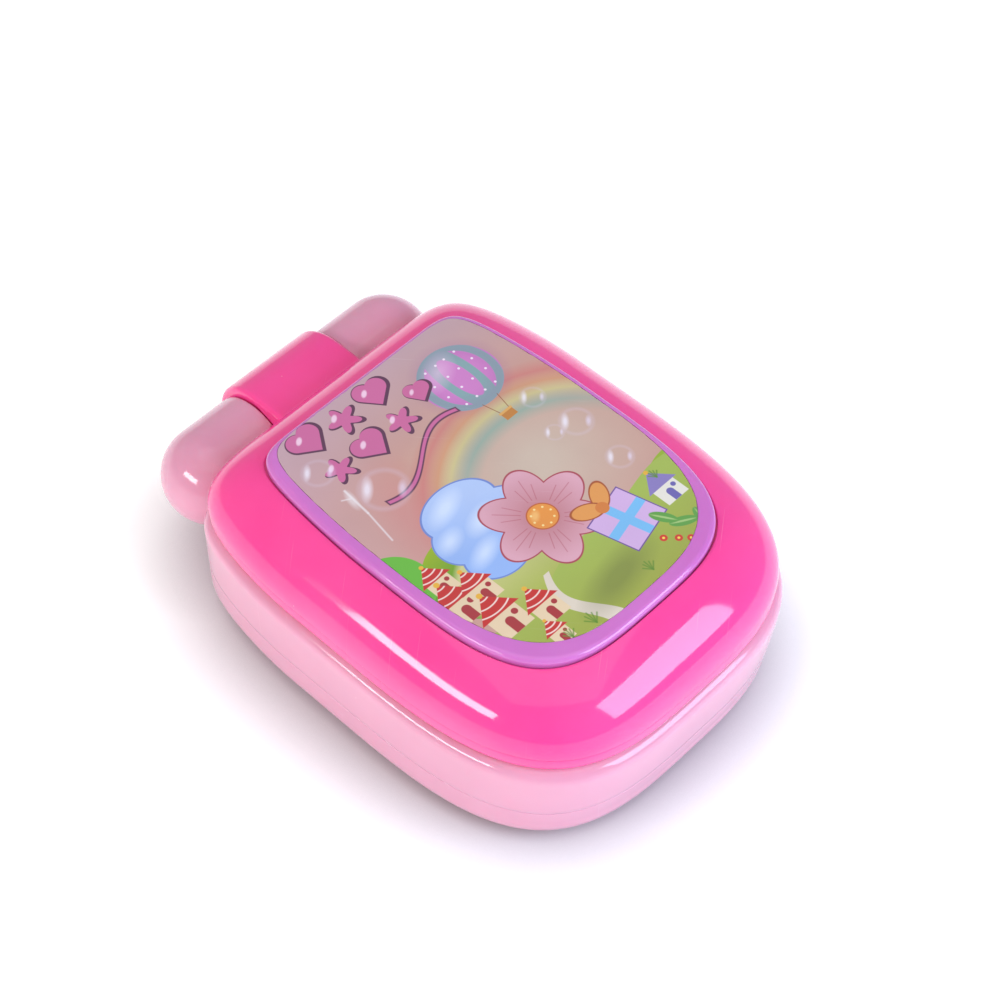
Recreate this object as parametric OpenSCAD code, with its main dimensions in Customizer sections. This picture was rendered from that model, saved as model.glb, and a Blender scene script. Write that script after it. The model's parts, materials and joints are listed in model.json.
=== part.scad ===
// Toy flip phone, closed: a rounded base with a keypad, and a domed lid on a barrel hinge.
// Millimetres. +X runs along the hinge, +Y points to the hinge, +Z is up.
// The origin is the bottom centre of the closed phone's box.

/* [Lid] */
// Half width of the lid at its widest
lid_half_w = 44.7; // [42:0.1:47]
// Length of the lid in front of its widest line
lid_front = 72.8; // [70:0.1:75]
// Length of the lid behind its widest line
lid_back = 37.6; // [36:0.1:38]
// Height of the domed top above the lid's parting line
dome_h = 14.2; // [13:0.1:16]
// Width of the rounded shoulder seen from above
dome_in = 20; // [16:0.5:22]
// Wall thickness of the lid mouldings
lid_wall = 2; // [1.6:0.1:2.2]

/* [Base] */
// Height of the base rim
base_h = 27.7; // [27.5:0.1:28]
// Height of the low parting line between the two base mouldings
parting_z = 13; // [12:0.5:14]
// How far the base bulges past the lid outline
bulge = 1.15; // [0.5:0.05:1.5]
// How much the front wall leans in by the time it reaches the ground
front_lean = 3.6; // [1:0.1:4]
// Radius of the rounded bottom edge
bottom_r = 8; // [6:0.5:9]
// Wall thickness of the base mouldings
base_wall = 2.2; // [2:0.1:2.4]

/* [Hinge] */
// Distance of the hinge axis behind the origin
hinge_y = 53.4; // [53:0.1:54]
// Height of the hinge axis
hinge_z = 21.5; // [21.3:0.1:21.8]
// Radius of the base's hinge barrels
barrel_r = 11.45; // [11:0.05:11.5]
// Half of the length over both barrels
barrel_half = 37.9; // [36:0.1:40]
// Radius of the lid's hinge knuckle
knuckle_r = 13.1; // [12.9:0.05:13.1]
// Half width of the knuckle
knuckle_half = 12.4; // [12:0.1:12.5]
// Radius of the hinge pins
pin_r = 3; // [2.5:0.1:3.2]

/* [Keypad] */
// Spacing of the key columns
key_dx = 20; // [19:0.5:21]
// Spacing of the key rows
key_dy = 14.5; // [13.5:0.5:14.5]
// Width of a key
key_w = 15; // [12:0.5:16]
// Depth of a key
key_d = 9.6; // [8:0.2:10]
// Travel of a key
key_travel = 1.2; // [0.8:0.1:1.2]

/* [Battery] */
// Radius of one AA cell
cell_r = 7.1; // [7:0.05:7.2]
// Length of one AA cell without its nub
cell_len = 49; // [48:0.5:50]

/* [Hidden] */
steps = 72;
fine_steps = 96;
round_fn = 48;
gap = 0.05;
running_gap = 0.05;

// An outline is [half width, centre y, front length, back length, front and back roundness,
// front and back narrowing]. The sides narrow with the square of the distance from the centre line.
lid_plan = [lid_half_w, 7.4, lid_front, lid_back, 3.2, 9, -0.108, 0.132];
panel_plan = [33.1, -4.4, 47.3, 38.4, 3.5, 12, -0.032, 0.106];
sticker_plan = [30.9, -3.6, 44.6, 36.6, 3.2, 12, -0.032, 0.106];

part_z = 32;
dome_z = part_z + gap;
top_z = dome_z + dome_h;
lip_z = base_h + 0.2;
lip_r = 2.5;
lid_floor_z = 29.4;
lid_floor_t = 2;
pocket_z = 44;
panel_top = top_z + 0.35;
sticker_t = 0.25;
sticker_at = [0.7, 0, 0];
panel_gap = 0.35;
panel_rim = 1.2;

shoulder_r = 3;
shoulder_z = base_h - shoulder_r;
floor_t = 2.8;
deck_top = 24;
deck_bottom = 22.3;
rim_in = 4.1;
barrel_face = 12.85;
barrel_t = 2;
barrel_end = barrel_half - barrel_r;
trough_r = knuckle_r + 0.4;
trough_wall = 1.7;
pin_from = 6;
pin_to = 22;
washer_t = 0.3;

board_z = 18.5;
board_t = 1.2;
board_top = board_z + board_t;
board = [33, -48, 37];
mat_t = 0.8;
mat = [28.4, -41.5, 30.4];
dome_rise = key_travel + 0.25;
dome_top = board_top + mat_t + dome_rise;
bezel_z = deck_top;
bezel_t = 1.2;
bezel_in = 4.6;
key_top = 27.1;
key_r = 4;
key_flange = 0.8;
key_gap = 0.35;
flange_top = bezel_z - gap;
flange_bottom = 22.9;
window = [30.5, -43, 31];

// Three columns and five rows: name, column, row. Row 0 is nearest the hinge.
KEYS = [
    ["key_call", -1, 0], ["key_music", 0, 0], ["key_hang_up", 1, 0],
    ["key_1", -1, 1], ["key_2", 0, 1], ["key_3", 1, 1],
    ["key_4", -1, 2], ["key_5", 0, 2], ["key_6", 1, 2],
    ["key_7", -1, 3], ["key_8", 0, 3], ["key_9", 1, 3],
    ["key_star", -1, 4], ["key_0", 0, 4], ["key_hash", 1, 4],
];
key_row_y = 22.5;
lens_y = 34.2;
lens_r = 2.6;

cell_z = 10;
cell_y = 8.5;
cell_pitch = 15;
box_in = [30.5, -6.3, 23.3];
box_wall = 1.5;
box_top = 18.3;
box_roof = 17.3;
door = [36.8, -9, 26];
door_t = 1.9;
door_r = 3;
door_gap = 0.25;
door_screw = [33.5, 8.5];

speaker_y = -31;
speaker_r = 14;
switch_pos = [26, -36];
switch_travel = 3;

base_screws_at = [[-24, -51.5], [24, -51.5], [-36.4, 31], [36.4, 31]];
board_screws_at = [[-25, -44.7], [25, -44.7], [-25, 33.7], [25, 33.7]];
lid_screws_at = [[-28, -42], [28, -42], [-30, 32], [30, 32]];
boss_r = 3.2;
small_boss_r = 2.6;
boss_end = 8;
screw_r = 1.3;
lead_r = 0.55;
lead_sides = 10;
head_r = 2.6;
head_h = 1.6;

hot_pink = [1, 0.2, 0.55];
light_pink = [0.95, 0.72, 0.84];
purple = [0.74, 0.4, 0.8];
steel = [0.75, 0.76, 0.78];

// ---- outlines and lofted shells ----

// One point of an outline at angle a, grown sideways, to the front and to the back
function plan_point(o, a, gw, gf, gb) =
    let (c = cos(a), s = sin(a), front = s < 0,
         w = o[0] + gw, h = front ? o[2] + gf : o[3] + gb,
         n = front ? o[4] : o[5], narrow = front ? o[6] : o[7],
         r = pow(pow(abs(c) / w, n) + pow(abs(s) / h, n), -1 / n), v = r * s / h)
    [r * c * (1 - narrow * v * v), o[1] + r * s];

function plan_points(o, gw, gf, gb, count) =
    [for (i = [0:count - 1]) plan_point(o, 360 * i / count, gw, gf, gb)];

// A flat plate with an outline of the family, grown by g
module plan_plate(o, g, z0, z1) {
    translate([0, 0, z0]) linear_extrude(z1 - z0) polygon(plan_points(o, g, g, g, fine_steps));
}

// A closed solid through rings [side growth, front growth, back growth, z] of one outline.
// The first ring's cap faces down and the last ring's cap faces up.
module loft(o, rings) {
    count = len(rings);
    points = [for (r = rings) each [for (p = plan_points(o, r[0], r[1], r[2], steps)) [p[0], p[1], r[3]]]];
    sides = [for (k = [0:count - 2]) each [for (i = [0:steps - 1])
        let (j = (i + 1) % steps, a = k * steps, b = a + steps)
        each [[a + i, b + i, b + j], [a + i, b + j, a + j]]]];
    first = [for (i = [0:steps - 1]) i];
    last = [for (i = [steps - 1:-1:0]) (count - 1) * steps + i];
    polyhedron(points, concat([first], sides, [last]));
}

function even(g, z) = [g, g, g, z];

// ---- base shape ----

function lean(z) = front_lean * pow(max(0, shoulder_z - z) / shoulder_z, 1.3);
function wall_ring(g, z) = [bulge + g, bulge + g - lean(z), bulge + g, z];

// ---- helpers ----

module round_rect(w, d, r) {
    square([w, d - 2 * r], center = true);
    square([w - 2 * r, d], center = true);
    for (x = [-1, 1], y = [-1, 1])
        translate([x * (w / 2 - r), y * (d / 2 - r)]) circle(r, $fn = round_fn);
}

// A block with rounded upright edges; b is [half width, low y, high y]
module slab(b, r, z0, z1) {
    translate([0, (b[1] + b[2]) / 2, z0]) linear_extrude(z1 - z0)
        round_rect(2 * b[0], b[2] - b[1], r);
}

module rod(r, z0, z1) {
    translate([0, 0, z0]) cylinder(h = z1 - z0, r = r, $fn = round_fn);
}

// A rod along X, on the hinge axis
module axle(r, x0, x1) {
    translate([x0, hinge_y, hinge_z]) rotate([0, 90, 0]) cylinder(h = x1 - x0, r = r, $fn = 64);
}

module each_side() {
    children();
    mirror([1, 0, 0]) children();
}

// A round-headed screw whose head's underside is at z = 0 and whose shank points up
module screw(len, r, hr, hh) {
    difference() {
        union() {
            rod(hr, -hh, 0);
            rod(r, 0, len - 1);
            translate([0, 0, len - 1]) cylinder(h = 1, r1 = r, r2 = 0.5, $fn = round_fn);
        }
        for (turn = [0, 90]) rotate([0, 0, turn]) translate([-hr * 0.65, -0.35, -hh - 0.1])
            cube([hr * 1.3, 0.7, hh * 0.5 + 0.1]);
    }
}

module at_each(places) {
    for (p = places) translate([p[0], p[1], 0]) children();
}

// ---- lid ----

module lid_outer() {
    inner_h = pocket_z - lid_wall - dome_z;
    inner_in = dome_in - 6;
    color(hot_pink) difference() {
        union() {
            loft(lid_plan, concat(
                [for (t = [90:-18:18]) even(-lid_wall - inner_in * (1 - cos(t)), dome_z + inner_h * sin(t))],
                [even(-lid_wall, dome_z), even(0, dome_z)],
                [for (t = [10:10:90]) even(-dome_in * (1 - cos(t)), dome_z + dome_h * sin(t))]));
            axle(knuckle_r, -knuckle_half, knuckle_half);
            translate([-knuckle_half, 43.4, dome_z])
                cube([2 * knuckle_half, hinge_y - 43.4, hinge_z + knuckle_r - dome_z]);
            at_each(lid_screws_at) rod(boss_r, lid_floor_z + lid_floor_t + gap, pocket_z - 1.9);
        }
        plan_plate(panel_plan, panel_gap, pocket_z, top_z + 5);
        at_each(lid_screws_at) rod(screw_r, 0, 40.5);
        each_side() axle(pin_r + running_gap, pin_from - 0.5, knuckle_half + 1);
    }
}

module lid_inner() {
    color(hot_pink) difference() {
        loft(lid_plan, concat(
            [even(-5, lid_floor_z), even(-4.2, lip_z)],
            [for (t = [90:-22.5:0]) even(-0.12 - lip_r * (1 - cos(t)), lip_z + lip_r * (1 - sin(t)))],
            [even(-0.12, part_z - gap), even(-lid_wall - 0.15, part_z - gap),
             even(-lid_wall - 0.15, part_z - 0.2), even(-lid_wall - 1.2, part_z - 0.2),
             even(-lid_wall - 1.2, lid_floor_z + lid_floor_t)]));
        axle(barrel_r + 0.4, -barrel_half - 0.4, barrel_half + 0.4);
        axle(knuckle_r + 0.2, -knuckle_half - 0.2, knuckle_half + 0.2);
        at_each(lid_screws_at) {
            rod(screw_r + 0.2, 0, 40);
            rod(head_r + 0.3, 0, lid_floor_z + 1);
        }
        slab([24, -28, 14], 3, lid_floor_z - 1, lid_floor_z + 1);
        for (y = [-50, -46.5, -43]) slab([7, y - 0.8, y + 0.8], 0.79, lid_floor_z - 1, 40);
    }
}

module lid_panel() {
    color(purple) difference() {
        loft(panel_plan, concat([even(0, pocket_z)],
            [for (t = [0:15:90]) even(-panel_rim * (1 - cos(t)), panel_top - panel_rim * (1 - sin(t)))]));
        translate(sticker_at) plan_plate(sticker_plan, 0.1, panel_top - sticker_t, panel_top + 1);
    }
}

module lid_sticker() {
    color([0.9, 0.8, 0.7]) translate(sticker_at)
        plan_plate(sticker_plan, 0, panel_top - sticker_t, panel_top - 0.05);
}

module screen_bezel() {
    color(purple) difference() {
        slab([27, -31, 17], 5, lid_floor_z - 0.9, lid_floor_z);
        slab([22, -26, 12], 3, lid_floor_z - 2, lid_floor_z + 1);
    }
}

module screen_lens() {
    color([0.8, 0.9, 1, 0.4]) slab([23.8, -27.8, 13.8], 2.8, lid_floor_z, lid_floor_z + 0.6);
}

module screen_card() {
    color([0.7, 0.85, 1]) slab([23.8, -27.8, 13.8], 2.8, lid_floor_z + 0.62, lid_floor_z + 0.95);
}

module lid_screws() {
    color(steel) at_each(lid_screws_at) translate([0, 0, lid_floor_z + 1])
        screw(9, screw_r - 0.01, head_r, 1.2);
}

// ---- base ----

// The ball that rounds off a barrel's outer end, with its poles on the hinge axis
module barrel_ball(r) {
    translate([barrel_end, hinge_y, hinge_z]) rotate([0, 90, 0]) sphere(r, $fn = 64);
}

module barrel() {
    difference() {
        union() {
            axle(barrel_r, barrel_face, barrel_end);
            barrel_ball(barrel_r);
        }
        axle(barrel_r - barrel_t, barrel_face + 3.5, barrel_end + 3);
    }
    axle(pin_r + 2.5, barrel_face, pin_to);
}

// Curved wall in the base's back that clears the turning knuckle
module trough() {
    intersection() {
        axle(trough_r + trough_wall, -barrel_face - 2, barrel_face + 2);
        translate([-30, 36, parting_z + gap]) cube([60, 8.3, base_h - parting_z - gap]);
    }
}

module base_top() {
    color(light_pink) difference() {
        union() {
            loft(lid_plan, concat(
                [wall_ring(-base_wall, deck_bottom), wall_ring(-base_wall, parting_z + gap)],
                [for (z = [parting_z + gap, 16, 19, 22, shoulder_z]) wall_ring(0, z)],
                [for (t = [22.5:22.5:90])
                    even(bulge - shoulder_r * (1 - cos(t)), shoulder_z + shoulder_r * sin(t))],
                [even(-rim_in, base_h), even(-rim_in - 0.2, deck_top)]));
            each_side() barrel();
            trough();
            at_each(base_screws_at) rod(boss_r, boss_end + gap, deck_bottom + 0.5);
            at_each(board_screws_at) rod(small_boss_r, board_top, deck_bottom + 0.5);
        }
        axle(trough_r, -barrel_face, barrel_face);
        each_side() axle(pin_r, barrel_face - 1, pin_to);
        slab(window, 4, deck_bottom - 0.1, deck_top + 0.1);
        translate([0, lens_y, 0]) rod(2.2, deck_bottom - 1, deck_top + 1);
        at_each(base_screws_at) rod(screw_r, boss_end - 1, deck_bottom - 1.5);
        at_each(board_screws_at) rod(0.9, board_top - 1, deck_bottom);
    }
}

module base_bottom() {
    color(light_pink) difference() {
        union() {
            loft(lid_plan, concat(
                [for (t = [90:-15:0]) let (g = wall_ring(0, bottom_r), cut = bottom_r * (1 - cos(t)))
                    [g[0] - cut, g[1] - cut, g[2] - cut, bottom_r * (1 - sin(t))]],
                [wall_ring(0, parting_z - gap), wall_ring(-base_wall, parting_z - gap),
                 wall_ring(-base_wall, bottom_r)],
                [for (t = [30:30:90]) let (g = wall_ring(-base_wall, bottom_r), r = bottom_r - floor_t,
                    cut = r * (1 - cos(t))) [g[0] - cut, g[1] - cut, g[2] - cut, bottom_r - r * sin(t)]]));
            at_each(base_screws_at) rod(boss_r, 1, boss_end);
            slab([box_in[0] + box_wall, box_in[1] - box_wall, box_in[2] + box_wall], 1, 1, box_top);
            translate([door_screw[0], door_screw[1], 0]) rod(2.6, 1, 8);
            translate([0, speaker_y, 0]) difference() {
                rod(speaker_r + 1.4, 1, 5);
                rod(speaker_r + 0.2, floor_t, 6);
            }
        }
        axle(trough_r, -barrel_face, barrel_face);
        axle(barrel_r + gap, -barrel_half, barrel_half);
        slab(box_in, 0.9, -1, box_roof);
        slab([door[0] + door_gap, door[1] - door_gap, door[2] + door_gap], door_r + door_gap, -1,
            door_t + gap);
        at_each(base_screws_at) {
            rod(screw_r + 0.25, 0, boss_end + 1);
            rod(head_r + 0.4, -1, 4);
        }
        translate([door_screw[0], door_screw[1], 0]) rod(1.15, 0, 6.5);
        translate([0, speaker_y, 0]) {
            rod(1.1, -1, floor_t + 1);
            for (ring = [1, 2], k = [0:6 * ring - 1])
                rotate([0, 0, 60 * k / ring]) translate([4.2 * ring, 0, 0]) rod(1.1, -1, floor_t + 1);
        }
        translate([switch_pos[0], switch_pos[1] + switch_travel / 2, 0]) {
            slab([2.1, -3.6, 3.6], 1, -1, floor_t + 1);
            slab([4, -6, 6], 2, -1, 1.2);
        }
    }
}

module keypad_bezel() {
    color(purple) difference() {
        plan_plate(lid_plan, -bezel_in, bezel_z, bezel_z + bezel_t);
        for (k = KEYS) translate([k[1] * key_dx, key_y(k), bezel_z - 1])
            linear_extrude(4) round_rect(key_w + 2 * key_gap, key_d + 2 * key_gap, key_r + key_gap);
        translate([0, lens_y, 0]) rod(lens_r + 0.1, bezel_z - 1, bezel_z + 3);
        axle(trough_r + trough_wall + 0.3, -barrel_face - 2.3, barrel_face + 2.3);
        for (x = [-4.5, 0, 4.5]) translate([x, -51.5, 0]) rod(0.8, bezel_z - 1, bezel_z + 3);
    }
}

function key_y(k) = key_row_y - k[2] * key_dy;

module key_cap(k) {
    color(k[0] == "key_call" ? [0.5, 0.85, 0.5] : k[0] == "key_hang_up" ? [0.95, 0.35, 0.35] : [1, 0.95, 0.9])
        translate([k[1] * key_dx, key_y(k), 0]) {
            translate([0, 0, flange_top - 0.1]) linear_extrude(key_top - flange_top + 0.1)
                round_rect(key_w, key_d, key_r);
            translate([0, 0, flange_bottom]) linear_extrude(flange_top - flange_bottom)
                round_rect(key_w + 2 * key_flange, key_d + 2 * key_flange, key_r + key_flange);
            rod(3, dome_top + gap, flange_bottom + 0.1);
        }
}

module key_mat() {
    color([0.85, 0.85, 0.88]) {
        slab(mat, 2, board_top + gap, board_top + mat_t);
        for (k = KEYS) translate([k[1] * key_dx, key_y(k), board_top + mat_t - 0.05])
            cylinder(h = dome_top - board_top - mat_t + 0.05, r1 = 4.4, r2 = 3.2, $fn = round_fn);
    }
}

module circuit_board() {
    color([0.15, 0.5, 0.3]) difference() {
        slab(board, 2, board_z, board_top - gap);
        at_each(board_screws_at) rod(1.1, board_z - 1, board_top + 1);
    }
}

module sound_chip() {
    color([0.08, 0.08, 0.1]) translate([-12, -30, board_z - gap]) intersection() {
        translate([0, 0, 6.6]) sphere(8, $fn = 64);
        rod(4.5, -2, 0);
    }
}

module led_lamp() {
    color([1, 0.95, 0.6, 0.8]) translate([0, lens_y, 0]) {
        rod(1.9, board_top, board_top + 0.8);
        rod(1.5, board_top, 22.2);
        translate([0, 0, 22.2]) sphere(1.5, $fn = round_fn);
    }
}

module light_lens() {
    color([1, 0.9, 0.95, 0.6]) translate([0, lens_y, 0]) {
        rod(lens_r, deck_top, bezel_z + bezel_t);
        intersection() {
            translate([0, 0, bezel_z + bezel_t - 3.4]) sphere(4.28, $fn = 64);
            rod(lens_r, bezel_z + bezel_t - 0.1, bezel_z + 3);
        }
    }
}

module speaker_basket() {
    color(steel) translate([0, speaker_y, 0]) difference() {
        union() {
            rod(speaker_r, floor_t + gap, floor_t + 1.2);
            translate([0, 0, floor_t + 1.2]) cylinder(h = 3.4, r1 = speaker_r - 1, r2 = 8.4, $fn = 64);
        }
        rod(speaker_r - 1.2, floor_t, floor_t + 1.2);
        translate([0, 0, floor_t + 1.19]) cylinder(h = 2.8, r1 = speaker_r - 1.8, r2 = 7.6, $fn = 64);
    }
}

module speaker_cone() {
    color([0.2, 0.2, 0.22]) translate([0, speaker_y, floor_t + 0.6]) difference() {
        cylinder(h = 2.2, r1 = speaker_r - 1.8, r2 = 4.6, $fn = 64);
        translate([0, 0, -0.5]) cylinder(h = 2.2, r1 = speaker_r - 1.8, r2 = 4.6, $fn = 64);
    }
}

module speaker_magnet() {
    color([0.3, 0.3, 0.33]) translate([0, speaker_y, 0]) rod(8, floor_t + 4.6 + gap, floor_t + 7.6);
}

module power_switch() {
    color([0.2, 0.2, 0.22]) translate([switch_pos[0], switch_pos[1] + switch_travel / 2, 0]) difference() {
        slab([3.4, -6.4, 6.4], 0.5, floor_t + gap, floor_t + 4.4);
        slab([1.9, -3.9, 3.9], 0.4, floor_t - 1, floor_t + 2.8);
    }
}

module power_slider() {
    color([0.95, 0.95, 0.95]) translate([switch_pos[0], switch_pos[1], 0]) {
        slab([1.7, -1.9, 1.9], 0.5, 1.4, floor_t + 2.6);
        for (y = [-1.3, 0, 1.3]) translate([-1.6, y - 0.3, 0.7]) cube([3.2, 0.6, 0.8]);
    }
}

module cell(y, turn) {
    translate([0, y, cell_z]) rotate([0, turn, 0]) {
        translate([-cell_len / 2, 0, 0]) rotate([0, 90, 0]) cylinder(h = cell_len, r = cell_r, $fn = 64);
        translate([cell_len / 2 - 0.1, 0, 0]) rotate([0, 90, 0]) cylinder(h = 1.2, r = 2.7, $fn = round_fn);
    }
}

module battery_left() {
    color([0.85, 0.65, 0.3]) cell(cell_y - cell_pitch / 2, 0);
}

module battery_right() {
    color([0.85, 0.65, 0.3]) cell(cell_y + cell_pitch / 2, 180);
}

// Conical contact springs, as stacked rings joined by a stem, and their back plates
module battery_springs() {
    color(steel) for (s = [-1, 1]) translate([s * box_in[0], cell_y + s * cell_pitch / 2, cell_z])
        rotate([0, -90 * s, 0]) {
            translate([0, 0, gap]) linear_extrude(0.4) round_rect(11, 11, 1);
            for (k = [0:3]) translate([0, 0, 0.75 + 1.2 * k])
                rotate_extrude($fn = round_fn) translate([4.2 - 0.5 * k, 0]) circle(0.32, $fn = 16);
            for (turn = [0:120:240]) rotate([0, 0, turn]) translate([3.35, 0, 0.4])
                rotate([0, -16, 0]) cylinder(h = 4, r = 0.3, $fn = 16);
        }
}

module battery_plates() {
    color(steel) for (s = [-1, 1]) translate([s * box_in[0], cell_y - s * cell_pitch / 2, cell_z])
        rotate([0, -90 * s, 0]) {
            translate([0, 0, gap]) linear_extrude(0.4) round_rect(11, 11, 1);
            translate([0, 0, 0.4]) cylinder(h = 4.3, r1 = 3.5, r2 = 2.2, $fn = round_fn);
        }
}

module battery_door() {
    color(light_pink) difference() {
        union() {
            slab(door, door_r, 0, door_t);
            for (y = [0.5, 16.5]) translate([-29.9, y - 3, door_t - 0.1]) cube([1.2, 6, 3]);
        }
        translate([door_screw[0], door_screw[1], 0]) {
            rod(1.35, -1, 3);
            rod(2.4, -1, 1.1);
        }
        for (y = [2:2.6:15]) translate([-28, y, -0.1]) cube([12, 1.1, 0.6]);
    }
}

module battery_door_screw() {
    color(steel) translate([door_screw[0], door_screw[1], 1.1]) screw(5, 1.1, 2.2, 0.9);
}

module base_screws() {
    color(steel) at_each(base_screws_at) translate([0, 0, 4]) screw(14, screw_r - 0.01, head_r, head_h);
}

module board_screws() {
    color(steel) at_each(board_screws_at) translate([0, 0, board_z]) screw(3.4, 0.89, 1.8, 1);
}

module hinge_pins() {
    color(steel) each_side() axle(pin_r, pin_from, pin_to - 0.1);
}

module hinge_washers() {
    color(steel) each_side() difference() {
        axle(6.5, knuckle_half + 0.08, knuckle_half + 0.08 + washer_t);
        axle(pin_r + 0.06, knuckle_half - 1, knuckle_half + 2);
    }
}

// Cuts the corners off a polyline, so that it bends more gently
function cut_corners(p) = concat([p[0]],
    [for (k = [0:len(p) - 2]) each [0.75 * p[k] + 0.25 * p[k + 1], 0.25 * p[k] + 0.75 * p[k + 1]]],
    [p[len(p) - 1]]);

// An insulated lead along a route that never runs parallel to X
module lead(corners) {
    route = cut_corners(cut_corners(corners));
    last = len(route) - 1;
    function ring(k) = let (d = route[min(k + 1, last)] - route[max(k - 1, 0)],
        u = cross(d, [1, 0, 0]) / norm(cross(d, [1, 0, 0])), v = cross(d, u) / norm(d))
        [for (i = [0:lead_sides - 1]) route[k] + lead_r * (cos(360 * i / lead_sides) * u
            + sin(360 * i / lead_sides) * v)];
    polyhedron([for (k = [0:last]) each ring(k)],
        concat([[for (i = [0:lead_sides - 1]) i]],
            [for (k = [0:last - 1]) each [for (i = [0:lead_sides - 1])
                let (j = (i + 1) % lead_sides, a = k * lead_sides, b = a + lead_sides)
                each [[a + i, b + i, b + j], [a + i, b + j, a + j]]]],
            [[for (i = [lead_sides - 1:-1:0]) last * lead_sides + i]]));
}

// Leads from the battery contacts to the underside of the board
module battery_wires() {
    color([0.85, 0.15, 0.15]) lead([[32.7, 1, 10], [34.4, -8.5, 11], [31, -16, 14], [29, -20, 17.8]]);
    color([0.1, 0.1, 0.1]) lead([[-32.7, 16, 10], [-34.4, -8.5, 11], [-31, -16, 14], [-29, -20, 17.8]]);
}

// Leads from the speaker to the underside of the board
module speaker_wires() {
    for (s = [-1, 1]) color(s < 0 ? [0.1, 0.1, 0.1] : [0.85, 0.15, 0.15])
        lead([[s * 9.5, speaker_y - 2, 7.3], [s * 13, speaker_y - 6, 11], [s * 10, speaker_y - 9, 17.8]]);
}

lid_outer();
lid_inner();
lid_panel();
lid_sticker();
screen_bezel();
screen_lens();
screen_card();
lid_screws();
base_top();
base_bottom();
keypad_bezel();
key_mat();
circuit_board();
sound_chip();
led_lamp();
light_lens();
speaker_basket();
speaker_cone();
speaker_magnet();
power_switch();
power_slider();
battery_left();
battery_right();
battery_springs();
battery_plates();
battery_door();
battery_door_screw();
base_screws();
board_screws();
hinge_pins();
hinge_washers();
battery_wires();
speaker_wires();
for (k = KEYS) key_cap(k);
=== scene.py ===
"""A toy flip phone, closed, on a pale floor. Sizes are in millimetres until meshes are made."""
import json
from math import asin, atan2, cos, degrees, hypot, pi, radians, sin, sqrt

import bmesh
import bpy
import numpy as np
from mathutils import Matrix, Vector


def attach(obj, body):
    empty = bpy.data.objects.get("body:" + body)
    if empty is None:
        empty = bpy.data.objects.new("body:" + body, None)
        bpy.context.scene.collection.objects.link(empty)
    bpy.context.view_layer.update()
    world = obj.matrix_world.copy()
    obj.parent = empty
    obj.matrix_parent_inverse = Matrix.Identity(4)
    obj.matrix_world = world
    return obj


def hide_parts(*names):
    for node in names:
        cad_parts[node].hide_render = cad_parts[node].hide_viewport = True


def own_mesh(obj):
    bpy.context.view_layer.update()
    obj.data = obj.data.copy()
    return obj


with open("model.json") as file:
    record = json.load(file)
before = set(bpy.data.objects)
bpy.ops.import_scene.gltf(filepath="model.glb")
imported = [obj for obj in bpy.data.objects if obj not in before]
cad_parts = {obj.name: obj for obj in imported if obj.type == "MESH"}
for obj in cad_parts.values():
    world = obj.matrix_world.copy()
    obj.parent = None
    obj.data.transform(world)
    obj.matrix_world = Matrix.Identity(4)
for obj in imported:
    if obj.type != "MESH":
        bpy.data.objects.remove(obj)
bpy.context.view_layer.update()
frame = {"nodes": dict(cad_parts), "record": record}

MM = 0.001
STEPS = 288

# Outlines: half width, centre y, front and back length, front and back roundness, front and back narrowing
LID_PLAN = (44.7, 7.4, 72.8, 37.6, 3.2, 9, -0.108, 0.132)
PANEL_PLAN = (33.1, -4.4, 47.3, 38.4, 3.5, 12, -0.032, 0.106)
STICKER_PLAN = (30.9, -3.6, 44.6, 36.6, 3.2, 12, -0.032, 0.106)
STICKER_SHIFT = 0.7
STICKER_DEEP = 0.25

PARTING_Z = 32.05
DOME_H = 14.2
DOME_IN = 20
LID_WALL = 2
POCKET_Z = 44
PANEL_TOP = 46.6
PANEL_RIM = 1.2
PANEL_GAP = 0.35
LIP_Z = 27.9
LIP_R = 1.6
LIP_IN = 0.12
LID_SEAM_R = 0.22
LID_FLOOR_Z = 29.4
SCREEN_Y = -7

BASE_H = 27.7
BASE_WALL = 2.2
BASE_PARTING_Z = 13
BASE_SEAM_R = 0.14
BASE_SEAM_GAP = 0.02
BULGE = 1.15
LEAN = 3.6
SHOULDER_R = 3
SHOULDER_Z = BASE_H - SHOULDER_R
BOTTOM_R = 8
FLOOR_T = 2.8
DECK_TOP = 24
DECK_BOTTOM = 22.3
RIM_IN = 4.1
LAMP_Y = 34.2
BATTERY_Y = 8.5
BATTERY_Z = 10
DOOR_SCREW_X = 33.5
SPEAKER_Y = -31
SPEAKER_PITCH = 4.2
SWITCH = (26, -34.5)

HINGE_Y = 53.4
HINGE_Z = 21.5
BARREL_R = 11.45
BARREL_HALF = 37.9
BARREL_FACE = 12.85
KNUCKLE_R = 13.1
KNUCKLE_HALF = 12.4
TROUGH_R = KNUCKLE_R + 0.4
PIN_R = 3

LID_SCREWS = ((-28, -42), (28, -42), (-30, 32), (30, 32))
BASE_SCREWS = ((-24, -51.5), (24, -51.5), (-36.4, 31), (36.4, 31))
BOSS_R = 3.2
PILOT_R = 1.3

KEY_DX = 20
KEY_DY = 14.5
KEY_ROW_Y = 22.5
KEY_W = 15
KEY_D = 9.6
KEY_R = 4
KEY_TOP = 27.1
KEY_FLANGE_TOP = 23.95
KEY_FLANGE_BOTTOM = 22.9
KEY_FLANGE = 0.8
KEY_STEM_BOTTOM = 22
MAT_TOP = 20.5
DOME_TOP = 21.95
KEY_ROWS = (("call", "music", "hang_up"), "123", "456", "789", ("star", "0", "hash"))
KEY_SIGNS = {"call": "", "music": "", "hang_up": "", "star": "*", "hash": "#"}
KEYS = {"key_" + word: (column - 1, row, KEY_SIGNS.get(word, word))
        for row, words in enumerate(KEY_ROWS) for column, word in enumerate(words)}


# ---- outlines ----

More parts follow.
